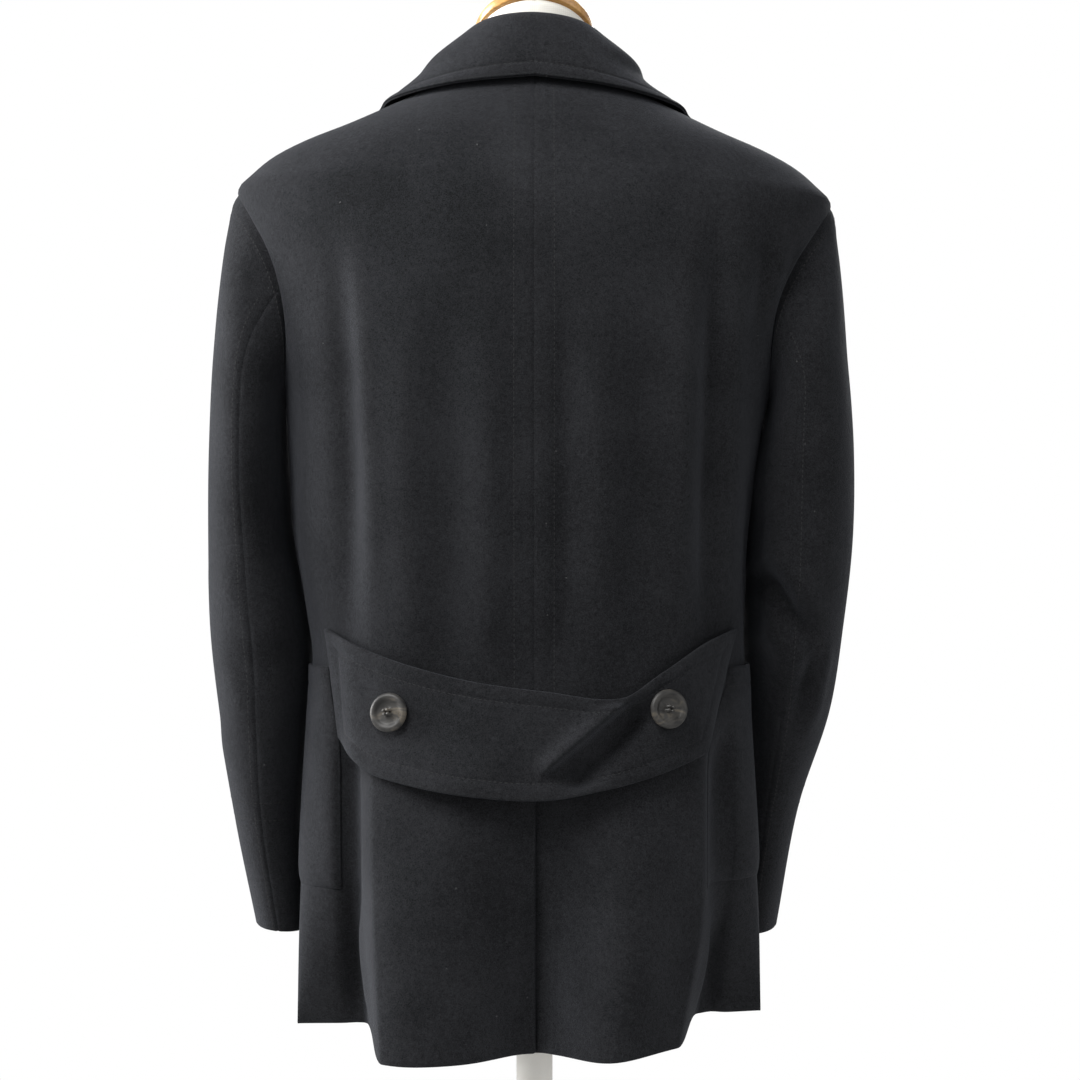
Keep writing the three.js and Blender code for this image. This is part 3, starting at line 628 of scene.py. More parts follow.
def spread(start: float, end: float, steps: int) -> Array:
    """Even steps from start to end, both kept."""
    return np.linspace(start, end, steps + 1)


def shares(count: int) -> Array:
    """A row of even shares that ends at 1 and leaves out 0."""
    return (np.arange(1, count + 1) / count)[None]


@dataclass(frozen=True)
class PanelRows:
    """Heights of a panel's rows: even below the armhole, bunched at its ends, then the shoulder."""

    step: float = 4.5
    arm_steps: int = 60
    above: int = 24

    def heights(self) -> Array:
        """All heights from the hem to the neck.

        Returns:
            The heights.
        """
        below = spread(HEM, ARMPIT, round((ARMPIT - HEM) / self.step))[:-1]
        k = np.arange(self.arm_steps + 1) / self.arm_steps
        arm = mix(ARMPIT, SHOULDER, (1 - np.cos(math.pi * k)) / 2)
        top = spread(SHOULDER, NAPE, self.above)[1:]
        return np.concatenate((below, arm, top))


ROWS = PanelRows()


@dataclass(frozen=True)
class BodyRelief:
    """Folds of the coat round the body: ridges and troughs on each side's own view."""

    back: tuple[Crease, ...] = creases(
        (34, 1220, 36, 905, 15, 4.3, 0.35), (68, 1230, 66, 905, 16, -3.2, 0.35),
        (100, 1210, 94, 920, 16, 2.7, 0.35), (-24, 1250, -22, 905, 9, -4.2),
        (-52, 1240, -50, 905, 15, 5.8, 0.35), (-86, 1200, -80, 905, 13, -5.1, 0.35),
        (-120, 1280, -112, 930, 12, 5.1, 0.35), (139, 1290, 124, 930, 9, 1.1, 0.4, -2),
        (155, 1280, 147, 950, 11, -6.8, 0.4, -2), (-164, 1290, -157, 950, 10, 3.8, 0.35, 2),
        (-145, 1300, -138, 930, 10, -8.0, 0.3, 2), (-199, 1280, -190, 1200, 8, 3.5, 0.4),
        (-185, 1285, -178, 1180, 8, -3.5, 0.4), (9, 790, 11, 640, 10, 2.4, 0.35),
        (-14, 800, -14, 630, 13, -4.0), (60, 830, 84, 660, 20, 2.4), (149, 880, 147, 630, 8, -9.0, 0.15),
        (-149, 880, -146, 630, 8, -9.0, 0.15), (-66, 830, -84, 650, 20, 2.2),
        (-34, 800, -44, 660, 16, -1.8),
    )
    front: tuple[Crease, ...] = creases(
        (128, 1150, 150, 990, 16, 3.0, 0.3, 8), (-128, 1150, -150, 990, 16, 3.0, 0.3, -8),
        (20, 900, 46, 660, 22, 2.0), (-30, 880, -52, 660, 22, 2.0), (96, 1240, 168, 1190, 12, 2.0),
        (-96, 1240, -168, 1190, 12, 2.0),
    )
    left: tuple[Crease, ...] = creases(
        (40, 1120, 10, 960, 14, -2.6), (-60, 1130, -20, 940, 14, 2.6), (56, 740, 66, 640, 18, 3.0),
        (-40, 740, -52, 640, 20, 2.6),
    )
    right: tuple[Crease, ...] = creases(
        (44, 1110, 14, 950, 14, -2.6), (-56, 1120, -24, 950, 14, 2.4), (48, 740, 60, 640, 18, 3.0),
        (-46, 740, -60, 640, 20, 2.4),
    )

    def lift(self, points: Array, out: Array) -> Array:
        """How far the folds move the cloth out.

        Args:
            points: places on the body.
            out: directions out of it.

        Returns:
            The movement in millimetres.
        """
        x, y, z = points[..., 0], points[..., 1], points[..., 2]
        views = (
            (self.back, x, smooth(out[..., 1], 0.05, 0.4)),
            (self.front, x, smooth(-out[..., 1], 0.1, 0.5)),
            (self.left, y, smooth(out[..., 0], 0.4, 0.85)),
            (self.right, y, smooth(-out[..., 0], 0.4, 0.85)),
        )
        total = np.zeros(x.shape)
        for creases, across, share in views:
            for crease in creases:
                total += crease.lift(across, z) * share
        return total


RELIEF = BodyRelief()


# The pressed swell beside a seam, millimetres for a turn of one radian, and the calm cloth at an armhole
SWELL, SWELL_OFF, SWELL_WIDTH = 0.2, 6.0, 4.0
GIRTH = 190.0
CALM = 22.0
CALM_BELOW = 30.0


def seam_groove(distance: Array, depth: float, width: float) -> Array:
    """The dip of a sewn seam and the slight swell of its pressed allowance beside it."""
    swell = SWELL * bell(distance - SWELL_OFF, SWELL_WIDTH)
    return -depth * bell(distance, width) + swell + SWELL * bell(distance + SWELL_OFF, SWELL_WIDTH)


def fold_share(edge: Array, z: Array, neck: tuple[float, float]) -> Array:
    """The share of a panel's folds that is kept: none along the armhole and at the neck.

    Args:
        edge: distances from the panel's outer edge.
        z: heights.
        neck: the heights between which the folds end.

    Returns:
        The share at each place.
    """
    inside = smooth(edge, 0, CALM)
    below = (1 - inside) * (1 - smooth(z, ARMPIT - CALM_BELOW, ARMPIT))
    return (inside + below) * (1 - smooth(z, *neck))


@dataclass
class BackPanels:
    """The two halves of the back, with the centre seam, its topstitching, the box folds and the vent."""

    flat_from: float = 30.0
    flat_short: float = 14.0
    fold_columns: int = 22
    flank_columns: int = 26
    wall_limit: float = 0.16
    wall_past: float = 2.0
    covered: int = 10
    sewn_above: float = 900.0
    calm_neck: tuple[float, float] = (1350.0, 1395.0)
    vent_fade: float = 12.0
    stitch_off: float = 15.6
    stitch_dip: float = 0.16
    pressed: float = 0.05
    vent_gap: float = 2.4
    lap_ramp: float = 16.0
    underlap: float = 26.0
    near_seam: tuple[float, ...] = (
        0.15, 0.8, 1.6, 2.6, 4, 6, 9, 12, 14, 15, 15.6, 16.2, 17.2, 19, 22, 26, 30,
    )
    lap_share: tuple[float, ...] = (0, 0.04, 0.09, 0.15, 0.24, 0.37, 0.55, 0.74, 0.87, 0.93, 0.97)
    cut: Cut = Cut(0.27, 0.84, 0.93)

    def columns(self, z: Array, side: Side) -> Array:
        """Angles of the columns in each row, positive on the panel's own side.

        Args:
            z: heights of the rows.
            side: which half.

        Returns:
            One row of angles for each height.
        """
        height = z[:, None]
        corner = BODY.corner(height, side.value)
        wall = np.minimum(BODY.box.at("wall", height), self.wall_limit * BODY.half_width(height, side.value))
        before, steps = corner - self.flat_short, shares(self.fold_columns)
        flat = mix(self.flat_from, before, steps)
        fold = mix(before, corner + wall + self.wall_past, steps)
        near = np.broadcast_to(np.array(self.near_seam)[None], (len(z), len(self.near_seam)))
        angles = np.abs(BODY.angle_at(side.value * np.concatenate((near, flat, fold), 1), height))
        if side is Side.RIGHT:
            under = 1 - smooth(height, VENT_TOP - 2 * self.vent_fade, VENT_TOP - self.vent_fade)
            start = mix(-SEAM_GAP / 2, self.underlap, under)
            lap = -BODY.angle_at(mix(start, -self.lap_ramp, np.array(self.lap_share)[None]), height)
            angles = np.concatenate((lap, angles[:, self.covered:]), 1)
        edge = BODY.edge_angle(height, False)
        return np.concatenate((angles, mix(angles[:, -1:], edge, shares(self.flank_columns))), 1)

    def build(self, side: Side) -> None:
        """Makes one half of the back and its topstitching.

        Args:
            side: which half.
        """
        z = ROWS.heights()
        angles = self.columns(z, side) * side.value
        height = np.broadcast_to(z[:, None], angles.shape)
        points = BODY.points(angles, height)
        out = BODY.out(angles, height)
        away = np.abs(points[..., 0])
        edge = (BODY.edge_angle(height, False) - np.abs(angles)) * GIRTH
        lift = RELIEF.lift(points, out) * fold_share(edge, height, self.calm_neck)
        vented = 1 - smooth(height, VENT_TOP - self.vent_fade, VENT_TOP)
        lift += seam_groove(away, 0.6, 1.3) * (1 - vented)
        strip_top = self.pressed * (1 - smooth(away, self.stitch_off - 1.5, self.stitch_off + 3))
        lift += strip_top - self.stitch_dip * bell(away - self.stitch_off, 1.1)
        lift += seam_groove(edge, 0.8, 2.2)
        if side is Side.RIGHT:
            sunk = (CLOTH + self.vent_gap) * vented
            lift -= sunk * smooth(points[..., 0], -self.lap_ramp, -1)
        outer = points + out * lift[..., None]
        name = f"back_{side.word}"
        piece = Cloth.piece(f"cloth_{name}", (name,), outer, out, CLOTH)
        self.cut.declare(piece, ["form_torso"])
        column = self.covered if side is Side.LEFT else len(self.lap_share)
        keep = z > self.sewn_above
        SEWING.add("back", outer[keep, column], out[keep, column])


@dataclass
class FrontPanels:
    """The two fronts; the left one lies over the right one."""

    lap: float = 92.0
    ramp: float = 26.0
    break_height: float = 1262.0
    roll_top: float = 66.0
    crossing: float = 1348.0
    lap_past: float = 4.0
    lap_air: float = 0.6
    crossing_run: float = 24.0
    stitch_in: float = 10.0
    near_edge: tuple[float, ...] = (0, 1.2, 2.6, 4.5, 6.5, 8.4, 9.4, 10, 10.6, 11.6, 13.5)
    next_near: float = 16.0
    flat_width: float = 184.0
    flat_columns: int = 44
    ramp_columns: int = 10
    round_columns: int = 34
    sewn_column: int = 7
    calm_neck: tuple[float, float] = (1340.0, 1380.0)
    cut: Cut = Cut(0.37, 0.82, 0.88)

    def edge_x(self, z: Array) -> Array:
        """Where a front ends, on the wearer's own side of it."""
        up = (z - self.break_height) / (NAPE - self.break_height)
        return np.where(z <= self.break_height, -self.lap, mix(-self.lap, self.roll_top, up))

    def overlap(self, x: Array, z: Array) -> Array:
        """How far the left front is lifted to lie on the right one.

        Args:
            x: places across, on the wearer's left.
            z: heights.

        Returns:
            The lift at each place.
        """
        start = self.lap + self.lap_past
        across = 1 - smooth(x, start, start + self.ramp)
        below = 1 - smooth(z, self.crossing, self.crossing + self.crossing_run)
        return (CLOTH + LAYER_GAP + self.lap_air) * across * below

    def place(self, side: Side, x: Array, z: Array) -> tuple[Array, Array, Array]:
        """Places on a front.

        Args:
            side: which front.
            x: places across, on the wearer's own side of it.
            z: heights.

        Returns:
            The points, the directions out and the lifts of the front that lies over.
        """
        angle = BODY.angle_at(x * side.value, z, front=True)
        points, out = BODY.points(angle, z), BODY.out(angle, z)
        return points, out, self.overlap(x, z) if side is Side.LEFT else np.zeros(np.shape(x))

    def build(self, side: Side) -> None:
        """Makes one front, and on the left one the topstitching along its free edge below the break.

        Args:
            side: which front.
        """
        z = ROWS.heights()
        height = z[:, None]
        edge = BODY.edge_angle(height, True)
        edge_x = np.abs(BODY.points(side.value * edge, height)[..., 0])
        free = self.edge_x(height)
        turn = np.minimum(self.lap, mix(free, edge_x, 0.7))
        middle = np.minimum(self.lap + self.ramp + 6, mix(turn, edge_x, 0.5))
        near = np.array(self.near_edge) / self.flat_width
        rest = np.linspace(self.next_near / self.flat_width, 1, self.flat_columns)
        inner = mix(free, turn, np.concatenate((near, rest))[None])
        x = np.concatenate((inner, mix(turn, middle, shares(self.ramp_columns))), 1)
        flat = np.abs(BODY.angle_at(x * side.value, height, front=True)) * np.sign(x + 1e-9)
        angles = np.concatenate((flat, mix(flat[:, -1:], edge, shares(self.round_columns))), 1)
        angles = np.where(angles < 0, 2 * math.pi + angles, angles)
        grid = np.broadcast_to(height, angles.shape)
        turned_angles = np.where(angles > math.pi, angles - 2 * math.pi, angles) * side.value
        points, out = BODY.points(turned_angles, grid), BODY.out(turned_angles, grid)
        own = points[..., 0] * side.value
        from_edge = (angles - edge) * GIRTH
        kept = fold_share(from_edge, grid, self.calm_neck)
        lift = RELIEF.lift(points, out) * kept + seam_groove(from_edge, 0.8, 2.2)
        if side is Side.LEFT:
            lift += self.overlap(own, grid) * smooth(from_edge, 0, 20)
        inset = own - np.broadcast_to(free, own.shape)
        lift -= 0.5 * bell(inset - self.stitch_in, 1.1)
        outer = points + out * lift[..., None]
        name = f"front_{side.word}"
        piece = Cloth.piece(f"cloth_{name}", (name,), outer, out, CLOTH)
        self.cut.declare(piece, ["form_torso"])
        if side is Side.LEFT:
            low = z < self.break_height
            SEWING.add("front", outer[low, self.sewn_column], out[low, self.sewn_column])


FRONTS = FrontPanels()


@dataclass
class Sleeve:
    """A sleeve of two pieces, set into its armhole."""

    side: Side
    table: Table
    creases: tuple[Crease, ...]
    back_seam: int
    front_seam: int
    columns: int = 120
    rings: int = 140
    roundness: float = 2.2
    head: float = 0.2
    head_rings: int = 45
    pressed_out: float = 0.012
    pressed_share: float = 0.9
    off_edge: float = 0.05
    outer_column: int = 30
    column_width: float = 3.6
    seam_stitch: int = 3
    seam_from: int = 12
    cuff_stitches: tuple[int, ...] = (4, -23, -20)
    front_share: float = 0.35
    top_cut: Cut = Cut(0.212, 0.63, 0.86)
    under_cut: Cut = Cut(0.182, 0.48, 0.90)

    def tube(self, turn: Array, along: Array) -> Array:
        """Places on the plain tube: turn runs from the outer line over the back to the inner line.

        Args:
            turn: angles round it, from the outer line over the back to the inner line.
            along: shares of the way to the cuff.

        Returns:
            The places.
        """
        sine, cosine = np.sin(turn), np.cos(turn)
        reach = squareness(sine, cosine, self.roundness)
        share = (1 + cosine * reach) / 2
        x = mix(self.table.at("inner_x", along), self.table.at("outer_x", along), share)
        z = mix(self.table.at("inner_z", along), self.table.at("outer_z", along), share)
        y = self.table.at("middle", along) + self.table.at("deep", along) * sine * reach
        return xyz(self.side.value * x, y, z)

    def armhole(self) -> tuple[Array, Array]:
        """The armhole's edge on the body, one place for each column, with directions out.

        Returns:
            One place for each column, and the directions out.
        """
        half = self.columns // 2
        step = np.arange(self.columns)
        front = step > half
        k = np.where(front, step - half, half - step)
        z = mix(ARMPIT, SHOULDER, (1 - np.cos(math.pi * k / half)) / 2)
        inside = front & (k > 0) & (k < half)
        angle = np.where(inside, BODY.edge_angle(z, True), BODY.edge_angle(z, False)) * self.side.value
        return BODY.points(angle, z), BODY.out(angle, z)

    def grid(self) -> tuple[Array, Array]:
        """Points and directions out of the whole sleeve, one row for each ring.

        Returns:
            The points, one row for each ring, and the directions out.
        """
        first = spread(0, self.head, self.head_rings)[:-1]
        along = np.concatenate((first, spread(self.head, 1, self.rings - self.head_rings)))
        turn = 2 * math.pi * np.arange(self.columns) / self.columns
        tube = self.tube(turn[None], along[:, None])
        edge, edge_out = self.armhole()
        pull = (1 - smooth(along, 0, self.head)) ** 2
        points = tube + (edge - tube[0])[None] * pull[:, None, None]
        ahead = np.roll(points, -1, 1) - np.roll(points, 1, 1)
        down = np.gradient(points, axis=0)
        out = unit(np.cross(ahead, -down)) * self.side.value
        near = np.exp(-along / self.pressed_out)[:, None, None]
        leaned = unit(out + edge_out[None] * near * self.pressed_share)
        beside = unit(down[0] - edge_out * np.sum(down[0] * edge_out, -1, keepdims=True))
        points[0] += beside * (SEAM_GAP / 2) + leaned[0] * self.off_edge
        steps = np.linalg.norm(np.diff(points[:, self.outer_column], axis=0), axis=1)
        run = np.concatenate(([0], np.cumsum(steps)))
        lift = -1.3 * bell(run, 2.4) + 1.4 * bell(run - 9, 8) - 0.35 * bell(run - 11, 1.6)
        lift = np.broadcast_to(lift[:, None], points.shape[:2]).copy()
        fade = smooth(along, 0.0, 0.05)[:, None]
        back, front = ((np.arange(self.columns) - seam)[None] * self.column_width
                       for seam in (self.back_seam, self.front_seam))
        lift += fade * (seam_groove(back, 0.5, 2.2) + seam_groove(front, 0.5, 2.2))
        lift += self.relief(points, out) * smooth(along, 0.02, 0.12)[:, None]
        return points + leaned * lift[..., None], leaned

    def relief(self, points: Array, out: Array) -> Array:
        """The sleeve's folds: those drawn from behind show in front as well, a little weaker.

        Args:
            points: places on the sleeve.
            out: directions out of it.

        Returns:
            The lift at each place.
        """
        total = np.zeros(points.shape[:2])
        share = self.front_share + (1 - self.front_share) * smooth(out[..., 1], -0.3, 0.3)
        for crease in self.creases:
            total += crease.lift(points[..., 0], points[..., 2]) * share
        return total

    def build(self) -> None:
        """Makes both pieces and their stitching."""
        points, out = self.grid()
        word = self.side.word
        over = np.arange(self.front_seam - self.columns, self.back_seam + 1)
        under = np.arange(self.back_seam, self.front_seam + 1)
        for part, columns, cut in (("top", over, self.top_cut), ("under", under, self.under_cut)):
            index = columns % self.columns
            outer, face = points[:, index].copy(), out[:, index]
            for edge, beside in ((0, 1), (-1, -2)):
                outer[:, edge] += unit(outer[:, beside] - outer[:, edge]) * SEAM_GAP / 2
            name = f"sleeve_{word}_{part}"
            piece = Cloth.piece(f"cloth_{name}", (name,), outer, face, CLOTH)
            cut.declare(piece, [f"cloth_back_{word}"])
        beside = self.back_seam - self.seam_stitch
        SEWING.add(f"sleeve_{word}", points[self.seam_from:, beside], out[self.seam_from:, beside])
        around = np.arange(self.columns + 1) % self.columns
        for row in self.cuff_stitches:
            SEWING.add(f"sleeve_{word}", points[row, around], out[row, around])


LEFT_SLEEVE = Table("at outer_x outer_z inner_x inner_z deep middle", [
    (0.0, 245, 1318, 206, 1150, 80, 0), (0.05, 253, 1290, 207.5, 1138, 80, -1),
    (0.12, 259, 1250, 206.5, 1112, 79, -5), (0.22, 266, 1186, 205, 1078, 78, -11),
    (0.34, 271, 1105, 202.5, 1036, 75, -16), (0.46, 272.5, 1030, 195.5, 990, 72, -20),
    (0.58, 272, 955, 187, 940, 69, -26), (0.7, 265, 880, 190.5, 878, 67, -36),
    (0.85, 255, 794, 195, 792, 64, -54), (1.0, 240.5, 704, 190, 700, 62, -78),
])
RIGHT_SLEEVE = Table("at outer_x outer_z inner_x inner_z deep middle", [
    (0.0, 245, 1307, 194.5, 1150, 80, 0), (0.05, 250, 1280, 194.5, 1138, 80, -1),
    (0.12, 254.5, 1240, 190, 1112, 79, -4), (0.22, 260, 1176, 183.5, 1078, 78, -9),
    (0.34, 266, 1105, 178.4, 1036, 75, -14), (0.46, 266.5, 1032, 177.2, 990, 73, -22),
    (0.58, 261, 960, 178, 940, 72, -38), (0.7, 252.5, 885, 179.5, 880, 69, -62),
    (0.85, 230, 797, 180, 794, 65, -102), (1.0, 215.5, 692, 170, 686, 62, -136),
])
LEFT_CREASES = creases(
    (250, 1190, 232, 1040, 14, 2.6, 0.35), (222, 1120, 208, 985, 10, -2.8),
    (262, 1010, 206, 935, 12, 3.2), (254, 940, 204, 880, 11, -3.0), (262, 880, 232, 800, 13, 2.0),
    (230, 890, 212, 740, 14, 2.4),
)
RIGHT_CREASES = creases(
    (-190, 1170, -184, 1050, 9, 6.0), (-248, 1180, -230, 1040, 14, 2.6, 0.35),
    (-214, 1150, -200, 1010, 11, -2.6), (-186, 1030, -236, 968, 11, 6.0),
    (-180, 1008, -228, 946, 8, -11.0, 0.25), (-184, 966, -226, 918, 11, 6.0),
    (-242, 955, -228, 865, 7, 4.6), (-228, 945, -215, 870, 7, -4.6), (-206, 890, -194, 770, 14, 2.4),
)


# Each sleeve's surface and folds, and the columns of its back and front seams
SLEEVES = {
    Side.LEFT: (LEFT_SLEEVE, LEFT_CREASES, 30, 84),
    Side.RIGHT: (RIGHT_SLEEVE, RIGHT_CREASES, 36, 90),
}


def curve_rows(rows: Array, samples: int, rounded: float = 0.5) -> Array:
    """Rows on a smooth curve through a few rows of points.

    Args:
        rows: the rows that it passes through.
        samples: how many rows come out.
        rounded: how strongly it bends at the rows.

    Returns:
        The rows in between, evenly by share of the way.
    """
    count = len(rows)
    place = np.linspace(0, count - 1, samples)
    i = np.minimum(place.astype(int), count - 2)
    t = (place - i)[:, None, None]
    before, after = rows[np.maximum(i - 1, 0)], rows[np.minimum(i + 2, count - 1)]
    a, b = rows[i], rows[i + 1]
    start, end = (b - before) * rounded, (after - a) * rounded
    return (
        (2 * t**3 - 3 * t**2 + 1) * a + (t**3 - 2 * t**2 + t) * start
        + (3 * t**2 - 2 * t**3) * b + (t**3 - t**2) * end
    )


@dataclass
class Collar:
    """The collar: a stand inside and a fall that turns over it and spreads on the shoulders."""

    side: float = 61.0
    back: float = 54.0
    front: float = 62.0
    top: float = 1456.0
    drop: float = 18.0
    curve: float = 1.3
    end: float = 132.0
    margin: float = 7.0
    stitch_in: float = 10.0
    sunk_left: float = 6.0
    sunk_right: float = 11.0
    foot_air: float = 0.4
    foot_in: float = 1.2
    stand_in: float = 4.0
    fall_out: float = 6.0
    below_crease: float = 4.5
    stand_rows: int = 22
    fall_rows: int = 64
    bulges: tuple[tuple[float, float, float], ...] = ((0.3, 3, 1.0), (0.6, 3, 1.0), (0.85, 1, 0.5))
    steps: int = 170
    edge: Table = Table("angle z stand", [
        (0, 1396, 9), (30, 1392, 8), (60, 1386, 6), (90, 1384, 5), (112, 1374, 4.5), (132, 1356, 4.5),
    ])
    fall_cut: Cut = Cut(0.44, 0.076, 0.95, "folded")
    stand_cut: Cut = Cut(0.27, 0.05, 0.84, "folded")

    def crease(self, angle: Array, inward: float = 0, below: float = 0) -> Array:
        """Places on the line where the collar turns over.

        Args:
            angle: bearings from the centre back.
            inward: how far inside the line.
            below: how far below it.

        Returns:
            The places.
        """
        sine, cosine = np.sin(angle), np.cos(angle)
        depth = np.where(cosine > 0, self.back, self.front)
        fallen = self.drop * (1 - cosine) ** self.curve
        points = xyz((self.side - inward) * sine, (depth - inward) * cosine, self.top - fallen - below)
        return BODY.settle(points)

    def neck(self, angle: Array, inward: float, rise: float) -> Array:
        """Places a little inside the neck seam and above it.

        Args:
            angle: bearings.
            inward: how far inside.
            rise: how far above.

        Returns:
            The places.
        """
        points = BODY.points(angle, np.full(angle.shape, NAPE))
        shrink = 1 - inward / np.hypot(points[:, 0], points[:, 1])
        return xyz(points[:, 0] * shrink, points[:, 1] * shrink, points[:, 2] + rise)

    def clear(self, points: Array) -> Array:
        """Moves places out along their bearing until they are clear of the body.

        Args:
            points: the places.

        Returns:
            The places after the move.
        """
        x, y, z = points[:, 0], points[:, 1], points[:, 2]
        half = BODY.half_width(z, np.where(x < 0, -1, 1))
        depth = np.where(y > 0, BODY.sections.at("back", z), BODY.sections.at("front", z))
        section = BODY.points(np.arctan2(x / half, y / depth), z)
        have = np.hypot(x, y)
        need = np.hypot(section[:, 0], section[:, 1]) + self.margin
        grow = np.maximum(1, need / have)
        return xyz(x * grow, y * grow, z)

    def build_stand(self) -> None:
        """Makes the stand."""
        angle = np.radians(spread(-self.end, self.end, self.steps))
        out = xyz(np.sin(angle), np.cos(angle), 0 * angle)
        foot = self.neck(angle, CLOTH + self.foot_in, LAYER_GAP + self.foot_air)
        top = self.crease(angle, self.stand_in, self.below_crease)
        crest = self.crease(angle) - out * SEAM_GAP / 2
        rows = curve_rows(np.stack((foot, mix(foot, top, 0.5), top, crest)), self.stand_rows)
        up = np.array((0.0, 0.0, 1.0))
        faces = np.stack((-out, -out, unit(up * 0.5 - out), np.broadcast_to(up, out.shape)))
        faces = curve_rows(faces, self.stand_rows)
        piece = Cloth.piece("cloth_collar_stand", ("collar_stand",), rows, unit(faces), TWO_PLY)
        self.stand_cut.declare(piece, ["cloth_back_left"])

    def build_fall(self) -> None:
        """Makes the fall, with its topstitching near the edge."""
        angle = np.radians(spread(-self.end, self.end, self.steps))
        bearing = np.abs(np.degrees(angle))
        out = xyz(np.sin(angle), np.cos(angle), 0 * angle)
        up = np.array((0.0, 0.0, 1.0))
        crest = self.crease(angle) + out * SEAM_GAP / 2
        shoulder = self.crease(angle, -self.fall_out, self.below_crease)
        edge_z = self.edge.at("z", bearing)
        edge_out = BODY.out(angle, edge_z)
        edge = BODY.points(angle, edge_z) + edge_out * self.edge.at("stand", bearing)[:, None]
        sunk = np.where(angle > 0, self.sunk_left, self.sunk_right) * np.sin(angle) ** 2
        lower = [self.clear(mix(shoulder, edge, share) + out * (bulge - sunk * part)[:, None])
                 for share, bulge, part in self.bulges]
        rows = curve_rows(np.stack((crest, shoulder, *lower, edge)), self.fall_rows)
        lean = unit(out + up * 0.55)
        faces = np.stack((np.broadcast_to(up, out.shape), unit(out + up * 0.9), lean, lean, lean, edge_out))
        face = unit(curve_rows(faces, self.fall_rows))
        down = np.linalg.norm(rows - edge[None], axis=-1)
        lift = -0.6 * bell(down - self.stitch_in, 1.3) + 0.5 * bell(down - 3, 4)
        rows = rows + face * lift[..., None]
        piece = Cloth.piece("cloth_collar_fall", ("collar_fall",), rows, face, TWO_PLY, TWO_PLY_EDGE)
        self.fall_cut.declare(piece, ["cloth_back_left"])
        sewn = np.argmin(np.abs(down - self.stitch_in), axis=0), np.arange(len(angle))
        SEWING.add("collar", rows[sewn], face[sewn])


@dataclass
class Lapel:
    """A lapel, folded back on its front from the roll line."""

    side: Side
    lift: float
    start: float
    cut: Cut
    width: float = 74.0
    top: float = 0.87
    rows: int = 56
    columns: int = 40
    stitch_in: float = 10.0
    stitch_column: int = 6
    least: float = 5.0
    off_edge: float = 2.0
    widens: float = 1.25
    slope: float = 0.36
    reach: float = 0.93

    def build(self) -> None:
        """Makes the lapel and its topstitching."""
        share = spread(self.start, self.top, self.rows)[:, None]
        z = mix(FRONTS.break_height, NAPE, share)
        x = FRONTS.edge_x(z)
        wide = self.width * np.minimum(1, share * self.widens) + self.least
        w = wide * spread(0, 1, self.columns)[None]
        height = z - w * self.slope
        points, out, over = FRONTS.place(self.side, x + self.off_edge + w * self.reach, height)
        lift = over + self.lift - 0.5 * bell(wide - w - self.stitch_in, 1.2)
        outer = points + out * lift[..., None]
        name = f"lapel_{self.side.word}"
        piece = Cloth.piece(f"cloth_{name}", (name,), outer, out, CLOTH)
        self.cut.declare(piece, [f"cloth_front_{self.side.word}"])
        column = self.columns - self.stitch_column
        SEWING.add("front", outer[2:, column], out[2:, column])


